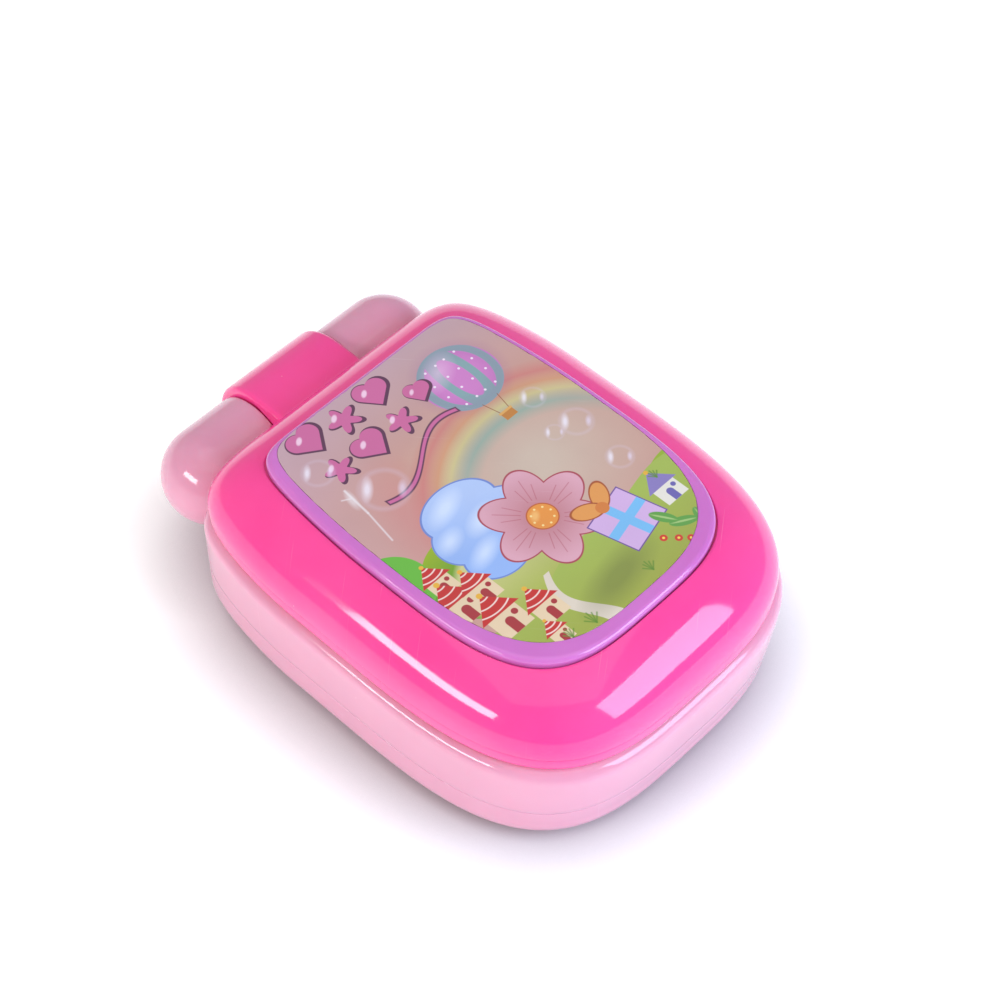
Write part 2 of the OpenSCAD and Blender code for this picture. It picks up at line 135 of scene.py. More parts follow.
def grown(plan, grow):
    """The plan's numbers after it grows sideways, to the front and to the back."""
    side, front, back = grow if isinstance(grow, tuple) else (grow, grow, grow)
    return plan[0] + side, plan[1], plan[2] + front, plan[3] + back, *plan[4:]


def outline(plan, grow=0):
    """Points round an outline, counter-clockwise from +X."""
    half, centre, front, back, front_n, back_n, front_t, back_t = grown(plan, grow)
    angle = full_turn(STEPS)
    c, s = np.cos(angle), np.sin(angle)
    length = np.where(s < 0, front, back)
    power = np.where(s < 0, front_n, back_n)
    narrow = np.where(s < 0, front_t, back_t)
    r = (np.abs(c / half) ** power + np.abs(s / length) ** power) ** (-1 / power)
    return np.stack([r * c * (1 - narrow * (r * s / length) ** 2), centre + r * s], 1)


def outside(plan, grow, points):
    """Above 0 where points lie outside the outline, below 0 inside."""
    half, centre, front, back, front_n, back_n, front_t, back_t = grown(plan, grow)
    dy = points[:, 1] - centre
    v = np.abs(dy) / np.where(dy < 0, front, back)
    across = np.abs(points[:, 0]) / (1 - np.where(dy < 0, front_t, back_t) * v ** 2) / half
    power = np.where(dy < 0, front_n, back_n)
    return across ** power + v ** power - 1


def at_height(points, z):
    """Flat points lifted to a height, or to one height each."""
    return np.column_stack([points, np.broadcast_to(z, len(points))])


def ring(plan, grow, z):
    return at_height(outline(plan, grow), z)


def full_turn(steps):
    return np.linspace(0, 2 * pi, steps, endpoint=False)


def arc(start, end, count):
    """Angles in radians from start to end degrees."""
    return np.radians(np.linspace(start, end, count))


def rounding(r, start, end, count):
    """What a rounded edge has lost to each of its two faces, at angles from start to end degrees."""
    return [(r * (1 - cos(t)), r * (1 - sin(t))) for t in arc(start, end, count)]


def round_rect(w, d, r, corner=12):
    """Points of a rectangle with rounded corners, centred on the origin."""
    points = []
    for k, (sx, sy) in enumerate([(1, 1), (-1, 1), (-1, -1), (1, -1)]):
        for t in arc(90 * k, 90 * k + 90, corner):
            points.append((sx * (w / 2 - r) + r * cos(t), sy * (d / 2 - r) + r * sin(t)))
    return np.array(points)


def circle(r, steps=48):
    angle = full_turn(steps)
    return np.stack([r * np.cos(angle), r * np.sin(angle)], 1)


def placed(points, x, y):
    return points + np.array([x, y])


# ---- meshes ----

def linked(name, data):
    """A new object in the scene."""
    item = bpy.data.objects.new(name, data)
    bpy.context.scene.collection.objects.link(item)
    return item


def solid(name, rings):
    """A closed mesh through rings of equal length, with flat ends."""
    count, last = len(rings[0]), len(rings) - 1
    mesh = bpy.data.meshes.new(name)
    faces = []
    for low in range(0, last * count, count):
        for i in range(count):
            j = (i + 1) % count
            faces.append((low + i, low + j, low + count + j, low + count + i))
    faces.append(tuple(range(count - 1, -1, -1)))
    faces.append(tuple(range(last * count, (last + 1) * count)))
    mesh.from_pydata((np.concatenate(rings) * MM).tolist(), [], faces)
    return outward(linked(name, mesh))


def outward(piece):
    """Turns every face of a closed piece to the outside."""
    work = bmesh.new()
    work.from_mesh(piece.data)
    bmesh.ops.recalc_face_normals(work, faces=work.faces)
    work.to_mesh(piece.data)
    work.free()
    return piece


def prism(points, z0, z1):
    return solid("cutter", [at_height(points, z0), at_height(points, z1)])


def rod(x, y, r, z0, z1, steps=48):
    """An upright cylinder."""
    return prism(placed(circle(r, steps), x, y), z0, z1)


def bar(x, y, w, d, r, z0, z1, corner=12):
    """An upright block with rounded corners."""
    return prism(placed(round_rect(w, d, r, corner), x, y), z0, z1)


def turned(points, name="cutter"):
    """A solid of revolution about the hinge axis, from (x, radius) points."""
    steps = 80
    angle = full_turn(steps)
    rings = [np.column_stack([np.full(steps, x), HINGE_Y + r * np.cos(angle), HINGE_Z + r * np.sin(angle)])
             for x, r in points]
    return solid(name, rings)


def axle(x0, x1, r):
    """A cylinder about the hinge axis."""
    return turned([(x0, r), (x1, r)])


def evaluated(item):
    """A mesh of what an object's modifiers or curve make."""
    bpy.context.view_layer.update()
    graph = bpy.context.evaluated_depsgraph_get()
    return bpy.data.meshes.new_from_object(item.evaluated_get(graph))


def bake_modifiers(piece):
    """The piece's mesh becomes what its modifiers make of it."""
    mesh = evaluated(piece)
    piece.modifiers.clear()
    piece.data = mesh


def joined(pieces, name="cutter"):
    """One object that holds several meshes."""
    work = bmesh.new()
    for piece in pieces:
        work.from_mesh(piece.data)
        bpy.data.objects.remove(piece)
    mesh = bpy.data.meshes.new(name)
    work.to_mesh(mesh)
    work.free()
    return linked(name, mesh)


def combine(piece, other, how):
    """A Boolean whose second object is used up."""
    modifier = piece.modifiers.new("combine", "BOOLEAN")
    modifier.operation = how
    modifier.solver = "EXACT"
    modifier.object = other
    bake_modifiers(piece)
    bpy.data.objects.remove(other)
    return piece


def cut(piece, *cutters):
    return combine(piece, joined(cutters), "DIFFERENCE")


def add(piece, *others):
    for other in others:
        combine(piece, other, "UNION")
    return piece


def soften(piece, width):
    """Rounds the edges sharper than 35 degrees."""
    modifier = piece.modifiers.new("soften", "BEVEL")
    modifier.width = width * MM
    modifier.segments = 2
    modifier.limit_method = "ANGLE"
    modifier.angle_limit = radians(35)
    modifier.miter_outer = "MITER_ARC"
    bake_modifiers(piece)


def smooth(piece):
    """Smooth shading, broken at edges sharper than 32 degrees."""
    work = bmesh.new()
    work.from_mesh(piece.data)
    for face in work.faces:
        face.smooth = True
    for edge in work.edges:
        edge.smooth = len(edge.link_faces) == 2 and edge.calc_face_angle(0) < radians(32)
    work.to_mesh(piece.data)
    work.free()


def from_curve(name, curve):
    """A mesh object with the shape of a curve, its doubled points welded."""
    source = linked(name, curve)
    mesh = evaluated(source)
    bpy.data.objects.remove(source)
    work = bmesh.new()
    work.from_mesh(mesh)
    bmesh.ops.remove_doubles(work, verts=work.verts, dist=1e-6)
    work.to_mesh(mesh)
    work.free()
    return linked(name, mesh)


def new_curve(name, dimensions, paths, bevel, closed):
    """A rounded curve of straight runs through each path's points."""
    curve = bpy.data.curves.new(name, "CURVE")
    curve.dimensions = dimensions
    for points in paths:
        spline = curve.splines.new("POLY")
        spline.points.add(len(points) - 1)
        for point, (x, y, z) in zip(spline.points, points):
            point.co = (x * MM, y * MM, z * MM, 1)
        spline.use_cyclic_u = closed
    curve.bevel_depth = bevel * MM
    curve.bevel_resolution = 2
    return curve


def plate(name, shape, holes, z0, z1, bevel):
    """A flat plate with holes, whose edges are all rounded."""
    curve = new_curve(name, "2D", [at_height(points, 0) for points in (shape, *holes)], bevel, True)
    curve.fill_mode = "BOTH"
    curve.offset = -bevel * MM
    curve.extrude = ((z1 - z0) / 2 - bevel) * MM
    piece = from_curve(name, curve)
    for vertex in piece.data.vertices:
        vertex.co.z += (z0 + z1) / 2 * MM
    return outward(piece)


def wire(name, points, r):
    """A round wire through points."""
    curve = new_curve(name, "3D", [points], r, False)
    curve.use_fill_caps = True
    return outward(from_curve(name, curve))


def finish_piece(piece, body, material, replaces=()):
    """Names what a finished piece is made of, what it moves with and which CAD nodes it stands for."""
    piece.data.materials.clear()
    piece.data.materials.append(material)
    smooth(piece)
    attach(piece, body)
    if replaces:
        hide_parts(*replaces)


# ---- arithmetic on shader values ----

class Value:
    """A number or vector worked out by shader nodes. Arithmetic on it adds nodes."""

    def __init__(self, tree, socket):
        self.tree = tree
        self.socket = socket

    def math(self, kind, *others, clamp=False):
        node = self.tree.nodes.new("ShaderNodeMath")
        node.operation = kind
        node.use_clamp = clamp
        for socket, value in zip(node.inputs, (self, *others)):
            feed(self.tree, value, socket)
        return Value(self.tree, node.outputs[0])

    def __add__(self, other):
        return self.math("ADD", other)

    def __sub__(self, other):
        return self.math("SUBTRACT", other)

    def __rsub__(self, other):
        return self.math("MULTIPLY_ADD", -1, other)

    def __mul__(self, other):
        return self.math("MULTIPLY", other)

    def __truediv__(self, other):
        return self.math("DIVIDE", other)

    def __abs__(self):
        return self.math("ABSOLUTE")


def feed(tree, value, socket):
    """Links a value into a socket, or sets a plain number or colour on it."""
    if isinstance(value, Value):
        tree.links.new(value.socket, socket)
    elif isinstance(value, bpy.types.NodeSocket):
        tree.links.new(value, socket)
    elif isinstance(value, tuple) and len(value) == 3:
        socket.default_value = (*value, 1)
    else:
        socket.default_value = value


def larger(a, b):
    return a.math("MAXIMUM", b)


def smaller(a, b):
    return a.math("MINIMUM", b)


def length(a, b):
    return (a * a + b * b).math("SQRT")


def inside(distance, soft):
    """1 where a signed distance is below 0 and 0 where it is above, over a soft edge."""
    return distance.math("DIVIDE", -soft).math("ADD", 0.5, clamp=True)


def step(value, low, high):
    """0 below low, 1 above high."""
    return (value - low).math("DIVIDE", high - low, clamp=True)


# ---- materials ----

SOCKETS = {"colour": "Base Color", "rough": "Roughness", "metal": "Metallic", "aniso": "Anisotropic",
           "ior": "IOR", "coat": "Coat Weight", "coat_rough": "Coat Roughness",
           "through": "Transmission Weight",
           "sss": "Subsurface Weight", "sss_radius": "Subsurface Radius", "sss_scale": "Subsurface Scale",
           "glow": "Emission Color", "glow_strength": "Emission Strength"}


class Look:
    """A node material under construction."""

    def __init__(self):
        self.material = bpy.data.materials.new("look")
        self.material.use_nodes = True
        self.tree = self.material.node_tree
        self.shader = self.tree.nodes["Principled BSDF"]
        self.place = self.tree.nodes.new("ShaderNodeTexCoord").outputs["Object"]

    def set(self, **values):
        for name, value in values.items():
            feed(self.tree, value, self.shader.inputs[SOCKETS[name]])

    def texture(self, kind, size, detail=0.0, output=0, turn=0.0, seed=0.0):
        """A texture node whose unit is size millimetres, each way."""
        mapping = self.tree.nodes.new("ShaderNodeMapping")
        mapping.vector_type = "TEXTURE"
        mapping.inputs["Scale"].default_value = [s * MM for s in size]
        mapping.inputs["Rotation"].default_value = (0, 0, radians(turn))
        mapping.inputs["Location"].default_value = (seed, seed * 1.7, seed * 2.3)
        self.tree.links.new(self.place, mapping.inputs["Vector"])
        node = self.tree.nodes.new(kind)
        node.inputs["Scale"].default_value = 1
        node.inputs["Detail"].default_value = detail
        self.tree.links.new(mapping.outputs[0], node.inputs["Vector"])
        return Value(self.tree, node.outputs[output])

    def noise(self, size, detail=2, stretch=(1, 1, 1), seed=0.0):
        """Smooth noise from 0 to 1 whose lumps are about size millimetres across."""
        return self.texture("ShaderNodeTexNoise", [size * s for s in stretch], detail, seed=seed)

    def specks(self, spacing, radius, seed=0.0):
        """1 on sparse round specks, 0 elsewhere."""
        distance = self.texture("ShaderNodeTexVoronoi", [spacing] * 3, output="Distance", seed=seed)
        return inside(distance - radius / spacing, radius / spacing)

    def scratches(self, seed=0.0, turn=35):
        """1 on long thin lines that run roughly one way, 0 elsewhere."""
        lines = self.texture("ShaderNodeTexNoise", (30, 0.5, 60), 3, turn=turn, seed=seed)
        return step(lines, 0.70, 0.76)

    def axis(self, index):
        """One coordinate in millimetres."""
        node = self.tree.nodes.new("ShaderNodeSeparateXYZ")
        self.tree.links.new(self.place, node.inputs[0])
        return Value(self.tree, node.outputs[index]) * (1 / MM)

    def mix(self, factor, a, b):
        """Colour a where factor is 0 and b where it is 1."""
        return mixed(self.tree, factor, a, b)

    def bump(self, height, depth):
        """Relief from a height of 0 to 1, depth millimetres deep. This completes the material."""
        node = self.tree.nodes.new("ShaderNodeBump")
        node.inputs["Distance"].default_value = depth * MM
        feed(self.tree, height, node.inputs["Height"])
        self.tree.links.new(node.outputs[0], self.shader.inputs["Normal"])
        return self.material


def mixed(tree, factor, a, b):
    node = tree.nodes.new("ShaderNodeMix")
    node.data_type = "RGBA"
    for value, socket in ((factor, node.inputs[0]), (a, node.inputs[6]), (b, node.inputs[7])):
        feed(tree, value, socket)
    return node.outputs[2]


def srgb(code):
    """The screen colour 0xRRGGBB as the shader's linear values."""
    shares = [(code >> shift & 255) / 255 for shift in (16, 8, 0)]
    return tuple(c / 12.92 if c <= 0.04045 else ((c + 0.055) / 1.055) ** 2.4 for c in shares)


def lighter(colour, share):
    return tuple(c + (1 - c) * share for c in colour)


def darker(colour, share):
    return tuple(c * (1 - share) for c in colour)


def plastic(colour, rough=0.08, glow=0.25, seed=1.0):
    """Moulded plastic: cloudy colour, a little light inside, fine scratches and dust specks."""
    look, colour = Look(), srgb(colour)
    clouds = look.noise(26, seed=seed)
    flecks = look.specks(9, 0.16, seed=seed)
    lines = look.scratches(seed=seed)
    base = look.mix(step(clouds, 0.3, 0.7), darker(colour, 0.05), lighter(colour, 0.02))
    base = look.mix(lines * 0.10, base, lighter(colour, 0.6))
    base = look.mix(flecks * 0.22, base, lighter(colour, 0.5))
    uneven = look.noise(7, detail=4, seed=seed + 3)
    look.set(colour=base, rough=uneven * 0.05 + (rough - 0.025) + lines * 0.12 + flecks * 0.2)
    look.set(sss=glow, sss_radius=[1.0, 0.35, 0.5], sss_scale=1.6 * MM, coat=0.35, coat_rough=0.05, ior=1.5)
    return look.bump(look.noise(1.6, detail=3, seed=seed + 5) + flecks * 2 - lines * 0.6, 0.004)


def clear_plastic():
    look = Look()
    haze = look.noise(6, detail=4)
    look.set(colour=srgb(0xEEF3FA), rough=haze * 0.06 + look.scratches() * 0.2, through=1.0, ior=1.49)
    return look.bump(look.noise(3), 0.003)


def metal(colour, rough=0.28):
    """Brushed or rolled metal with faint stains."""
    look, colour = Look(), srgb(colour)
    brushed = look.noise(1.2, detail=3, stretch=(1, 0.06, 1))
    stains = step(look.noise(5, detail=4, seed=4), 0.5, 0.75)
    look.set(colour=look.mix(stains * 0.4, colour, darker(colour, 0.35)), metal=1.0)
    look.set(rough=brushed * 0.18 + stains * 0.15 + (rough - 0.1), aniso=0.3)
    return look.bump(brushed, 0.006)


def matte(colour, rough=0.55, size=0.5, relief=0.02, spread=0.12):
    """A dull material with visible grain."""
    look, colour = Look(), srgb(colour)
    grains = look.noise(size, detail=4)
    patches = look.noise(8, seed=2)
    base = look.mix(step(patches, 0.3, 0.7), darker(colour, spread), lighter(colour, spread * 0.4))
    look.set(colour=base, rough=grains * 0.2 + (rough - 0.1))
    return look.bump(grains, relief)


# ---- printed pictures ----
# A shape's rule gives its signed distance from (u, v), measured about the shape's own place and turn.

def oval_rule(u, v, rx, ry):
    return (length(u / rx, v / ry) - 1) * smaller(rx, ry)


def block_rule(u, v, w, h):
    return larger(abs(u) - w / 2, abs(v) - h / 2)


def gable_rule(u, v, w, h):
    """A triangle that stands on the middle of its base."""
    slope = length(h, w / 2)
    return larger((abs(u) * h + (v - h) * w / 2) / slope, v * -1)


def line_rule(u, v, reach, w):
    return length(larger(u - reach, smaller(u, 0)), v) - w / 2


def heart_rule(u, v, size, _):
    half = size * 0.42
    point = (abs(u) + abs(v) - half) * 0.707
    lobe = length(abs(u) - half / 2, v - half / 2) - half * 0.707
    return smaller(point, lobe)


def star_rule(u, v, size, _):
    """A star whose five rays have rounded ends."""
    wave = (u.math("ARCTAN2", v) * 5).math("COSINE")
    return length(u, v) - size * 0.34 - wave * size * 0.13


def turned_shape(rule):
    """The rule of a shape that stands at x0, y0, turned by the angle with this cosine and sine."""
    def whole(x, y, x0, y0, cosine, sine, first, second):
        dx, dy = x - x0, y - y0
        return rule(dx * cosine + dy * sine, dy * cosine - dx * sine, first, second)
    return whole


def paint_rule(under, colour, distance, soft, share):
    """Colour laid over what is under it wherever the distance is below 0."""
    factor = ((distance / soft) * -1).math("ADD", 0.5, clamp=True) * share
    return Value(factor.tree, mixed(factor.tree, factor, under, colour))


RULES = {"oval": oval_rule, "block": block_rule, "gable": gable_rule, "line": line_rule, "heart": heart_rule,
         "star": star_rule}
PLACED = ("x", "y", "x0", "y0", "cosine", "sine", "first", "second")
PAINTED = ("under", "colour", "distance", "soft", "share")
COLOURS = ("under", "colour")
GROUPS = {}


def shape_group(kind):
    """The node group that works out one kind of shape, or paints. It is made once and then shared."""
    if kind not in GROUPS:
        names, rule = (PAINTED, paint_rule) if kind == "paint" else (PLACED, turned_shape(RULES[kind]))
        tree = bpy.data.node_groups.new(kind, "ShaderNodeTree")
        for name in names:
            socket_kind = "NodeSocketColor" if name in COLOURS else "NodeSocketFloat"
            tree.interface.new_socket(name, in_out="INPUT", socket_type=socket_kind)
        socket_kind = "NodeSocketColor" if kind == "paint" else "NodeSocketFloat"
        entry = tree.nodes.new("NodeGroupInput")
        leave = tree.nodes.new("NodeGroupOutput")
        result = rule(*[Value(tree, entry.outputs[name]) for name in names])
        tree.interface.new_socket("result", in_out="OUTPUT", socket_type=socket_kind)
        tree.links.new(result.socket, leave.inputs[0])
        GROUPS[kind] = tree
    return GROUPS[kind]


class Picture(Look):
    """A printed picture. Shapes are signed distances in millimetres, painted one over the other."""

    def __init__(self, sky, mirror_y=None):
        super().__init__()
        self.plain_x = self.axis(0)
        self.plain_y = self.axis(1) if mirror_y is None else 2 * mirror_y - self.axis(1)
        self.x, self.y = self.plain_x, self.plain_y
        self.layers = srgb(sky)
        self.painted = 0

    def group(self, kind, *values):
        node = self.tree.nodes.new("ShaderNodeGroup")
        node.node_tree = shape_group(kind)
        for socket, value in zip(node.inputs, values):
            feed(self.tree, value, socket)
        return Value(self.tree, node.outputs[0])

    def shape(self, kind, x, y, first, second=0.0, turn=0.0):
        t = radians(turn)
        return self.group(kind, self.x, self.y, x, y, cos(t), sin(t), first, second)

    def paint(self, distance, colour, soft=0.12, share=1.0):
        colour = srgb(colour) if isinstance(colour, int) else colour
        self.layers = self.group("paint", self.layers, colour, distance, soft, share)
        self.painted += 1
        if self.painted % 10 == 0:
            self.wait()

    def wait(self):
        """Makes later shapes wait for the layers so far, so that the renderer never holds too many values."""
        nothing = self.layers * 1e-9
        self.x, self.y = self.plain_x + nothing, self.plain_y + nothing

    def wash(self, factor, colour):
        """Colour laid over everything, as strong as the factor."""
        self.layers = Value(self.tree, self.mix(factor, self.layers, srgb(colour)))

    def blend(self, factor, a, b):
        """A colour that goes from a to b as the factor goes from 0 to 1."""
        return self.mix(factor, srgb(a), srgb(b))

    def away(self, x, y):
        """The distance from a point."""
        return length(self.x - x, self.y - y)

    def disc(self, x, y, r):
        return self.shape("oval", x, y, r, r)

    def oval(self, x, y, rx, ry, turn=0.0):
        return self.shape("oval", x, y, rx, ry, turn)

    def block(self, x, y, w, h, turn=0.0):
        return self.shape("block", x, y, w, h, turn)

    def line(self, x0, y0, x1, y1, w):
        turn = degrees(atan2(y1 - y0, x1 - x0))
        return self.shape("line", x0, y0, hypot(x1 - x0, y1 - y0), w, turn)

    def dots(self, places, r, colour):
        for x, y in places:
            self.paint(self.disc(x, y, r), colour)

    def bubble(self, x, y, r):
        self.paint(abs(self.disc(x, y, r * 0.92)) - r * 0.03, 0xDECDE1, r * 0.3, 0.35)
        self.paint(self.oval(x - r * 0.45, y + r * 0.45, r * 0.42, r * 0.16, 45), 0xF6EEFA, r * 0.2, 0.75)
        self.paint(self.oval(x + r * 0.5, y - r * 0.45, r * 0.3, r * 0.13, 45), 0xECDEF4, r * 0.16, 0.6)

    def charm(self, kind, x, y, size, turn, colour, edge):
        """A heart or star with a dark edge and a spot of light."""
        self.paint(self.shape(kind, x + 0.25, y - 0.4, size * 1.14, turn=turn), edge)
        self.paint(self.shape(kind, x, y, size, turn=turn), colour)
        spot = self.oval(x - size * 0.16, y + size * 0.2, size * 0.13, size * 0.07, 40)
        self.paint(spot, 0xFAD6EA, 0.3, 0.85)

    def tuft(self, x, y, size):
        for lean_x, tall in ((-0.55, 0.7), (-0.25, 0.95), (0.05, 1.1), (0.35, 0.85), (0.65, 0.6)):
            self.paint(self.line(x, y, x + lean_x * size, y + tall * size, 0.3), 0x5C882C, 0.25, 0.85)

    def cottage(self, x, y, size, wall, roof, door, stripe=None):
        """A little house that stands at x, y."""
        self.paint(self.block(x, y + size * 0.4, size, size * 0.8), wall)
        eaves = self.shape("gable", x, y + size * 0.75, size * 1.35, size * 0.8)
        self.paint(eaves, roof)
        if stripe:
            for k in range(3):
                curve = self.oval(x, y + size * 1.7, size * (0.38 + 0.3 * k), size * (0.34 + 0.26 * k))
                self.paint(larger(abs(curve) - 0.16, eaves), stripe)
        self.paint(self.block(x, y + size * 0.2, size * 0.3, size * 0.4), door)
        self.paint(self.disc(x, y + size * 0.4, size * 0.15), door)
        self.paint(self.disc(x + size * 0.3, y + size * 0.55, size * 0.1), door)
        self.paint(self.disc(x, y + size * 1.55, size * 0.09), 0xE8B03C)

    def done(self, rough=0.12, wear=True):
        """Adds paper fibres, stains and scuffs, and completes the material."""
        fibres = self.noise(0.35, detail=3, seed=7)
        marks = self.scratches(seed=5, turn=-50)
        colour = self.mix(step(self.noise(12, seed=8), 0.35, 0.7) * 0.06, self.layers, srgb(0x785A64))
        if wear:
            colour = self.mix(marks * 0.15, colour, srgb(0xF0EBF0))
        self.set(colour=colour, rough=self.noise(9, detail=4) * 0.08 + (rough - 0.04) + marks * 0.2)
        self.set(coat=0.6, coat_rough=0.04)
        return self.bump(fibres + self.noise(14, seed=11) * 10 - marks * 2, 0.0025)


def paint_sky(p):
    """A hazy sky with a rainbow."""
    p.wash(step(p.y, 10, 36) * 0.9, 0xC0A2AE)
    p.wash(step(p.x * -1 + p.y * 0.4, 14, 40) * 0.5, 0xC8A4B0)
    p.paint(p.oval(10, -10, 17, 15), 0xCEBEAC, 24, 0.8)
    middle = p.away(12, -21)
    fade = step(p.y, -20, 2) * 0.85
    for r, half, soft, colour in ((33, 1.6, 3.5, 0xCE7A74), (30, 1.2, 3, 0xD4966C),
                                  (27.2, 1.3, 3, 0xD0C686), (24, 1.6, 3.4, 0x8CAC9E)):
        p.paint(abs(middle - r) - half, colour, soft, fade)
    p.paint(p.oval(-18, -1, 5, 12, -18), 0xD68284, 7, 0.4)


def paint_hills(p):
    p.paint(p.disc(-19, -21, 11.5), p.blend(step(p.y, -21, -10), 0x549628, 0x98B222))
    p.paint(p.disc(-15.5, -27, 11.4), p.blend(step(p.y, -34, -18), 0xA8B24E, 0xCECC8C), 1.5)
    p.paint(p.disc(31, -40, 13.5), 0x96B030)
    hill = p.y + 31 + (p.x * 0.075).math("SINE") * -3 - (p.x * 0.19 + 2.2).math("SINE") * 1.2
    p.paint(hill, p.blend(step(p.y, -48, -30), 0x9EA646, 0xA4B854))
    p.paint(p.disc(-34, -12, 8.6), 0x68B63E)
    bend = (p.y * 0.24 + 1.1).math("SINE") * 2.6 - 9.6
    p.paint(larger(abs(p.x - bend) - ((p.y + 31) * -0.07 + 0.8), p.y + 31), 0xDED0BE)
    p.paint(p.oval(0, -42, 9, 3.4, 10), 0x586034, 4, 0.45)


def paint_cloud(p):
    a, b = p.oval(-10, -7, 9, 6.5), p.oval(-15.5, -13, 6, 6)
    c, d = p.oval(-6, -15, 9.5, 8), p.oval(-12.5, -20, 7.5, 6)
    cloud = smaller(smaller(a, b), smaller(c, d))
    shade = step(p.x * -0.6 + p.y * -0.8, 8, 24)
    p.paint(cloud - 0.35, 0x7088CC)
    p.paint(cloud, p.blend(shade, 0xB4CAF4, 0x96B6EE))
    for x, y, rx, ry in ((-12, -4.6, 4, 1.8), (-17.4, -11.4, 2.6, 1.6), (-8.6, -12, 3.6, 2),
                         (-14.4, -18.4, 3.2, 1.6)):
        p.paint(p.oval(x, y, rx, ry, 20), 0xDEEAFE, 2.4, 0.7)


def paint_flower(p, x, y):
    turns = arc(12, 312, 6)
    petals = [p.oval(x + 6.4 * cos(t), y + 6.4 * sin(t), 6.6, 4.4, degrees(t)) for t in turns]
    shade = p.blend(step(p.away(x, y), 3, 12), 0xC4828C, 0xDEA6B6)
    for petal in petals:
        p.paint(petal - 0.3, 0xAA4654)
    for petal in petals:
        p.paint(petal, shade)
    for t in turns:
        for spread in (-0.22, 0, 0.22):
            c, s = cos(t + spread), sin(t + spread)
            reach = 10.4 - abs(spread) * 8
            vein = p.line(x + 4.6 * c, y + 4.6 * s, x + reach * c, y + reach * s, 0.16)
            p.paint(vein, 0xB05464, 0.2, 0.7)
    p.paint(p.disc(x, y, 3.5), 0xBE6032)
    p.paint(p.disc(x, y, 3.2), 0xE89442)
    p.paint(p.oval(x - 1.1, y + 1.1, 1.3, 0.8, 40), 0xF8C478, 0.8, 0.7)
    p.dots([(x + 2.4 * cos(t), y + 2.4 * sin(t)) for t in arc(0, 315, 8)], 0.26, 0xFCDE96)


def paint_gift(p):
    for w, h, colour in ((12.6, 12.2, 0x705496), (12, 11.6, 0xD4B0DE), (2.2, 11.6, 0x78BCEC),
                         (12, 2.2, 0x78BCEC)):
        p.paint(p.block(12, -33.5, w, h, 14), colour)
    for turn in (54, 154):
        x = 10.6 + 3.3 * cos(radians(turn))
        y = -27.9 + 3.3 * sin(radians(turn))
        p.paint(p.oval(x, y, 3.4, 1.9, turn) - 0.3, 0xA8542C)
        p.paint(p.oval(x, y, 3.4, 1.9, turn), 0xE49A52)
    p.paint(p.disc(10.6, -27.9, 1.5), 0xD67E3C)


def paint_balloon(p, x, y, r):
    balloon = p.disc(x, y, r)
    p.paint(balloon, 0xD080C4)
    for share in (0.36, 0.86):
        bow = abs(length((p.x - x) / share, p.y - y) - r) * share - 0.95
        p.paint(larger(bow, balloon), 0x86A6AA)
    p.paint(larger(p.disc(x, y, 7) * -1, balloon), 0x965096, 5, 0.3)
    p.paint(p.oval(x - 2.4, y + 4.4, 3.4, 2, 30), 0xECC4E4, 4, 0.6)
    p.dots([(x + r * share * sqrt(1 - rise ** 2), y + r * rise)
            for share in (-0.62, -0.18, 0.18, 0.62) for rise in (-0.66, -0.22, 0.22, 0.66)], 0.3, 0xF4E2F0)
    for side in (-2.2, 2.2):
        p.paint(p.line(x + side, y - 8.8, x + side * 0.55, y - 13.4, 0.18), 0x965A3C)
    p.paint(p.block(x, y - 14.4, 3.2, 2.4), 0xC4803A)
    p.paint(p.block(x, y - 13.4, 3.6, 0.6), 0xE0A85C)


def paint_charms(p):
    """Hearts and stars over a ribbon."""
    plum, rose = 0x5C3250, 0xCE689C
    swirl = (p.x * 0.19 + 1.0).math("SINE") * 3.2 + p.x * 0.16 + 9.5
    ribbon = larger(abs(p.y - swirl) * 0.85, abs(p.x + 5) - 13.5)
    p.paint(ribbon - 0.72, plum, 0.2)
    p.paint(ribbon - 0.36, rose, 0.2)
    for kind, x, y, size, turn in (("heart", -19, 28.4, 8.4, 10), ("star", -9.6, 27.6, 8.2, 10),
                                   ("heart", -0.4, 28, 8, -8), ("star", -19.6, 18.4, 7.4, 0),
                                   ("heart", -10.4, 18, 8.2, 12), ("star", -1.4, 18.6, 7.6, 20),
                                   ("heart", 6.6, 21.4, 6, -14)):
        p.charm(kind, x, y, size, turn, rose, plum)


def paint_scrape(p):
    """A pale scrape near the sheet's left edge."""
    pale = 0xEEE4E6
    p.paint(p.oval(-23.6, 10.8, 0.8, 2.2, -14), pale, 0.9, 0.6)
    for x0, y0, x1, y1, w in ((-23, 13.6, -23.7, 6, 0.5), (-23.7, 6, -25.2, -2.6, 0.36),
                              (-23.5, 11.2, -25.2, 12.2, 0.3)):
        p.paint(p.line(x0, y0, x1, y1, w), pale, 0.3, 0.7)


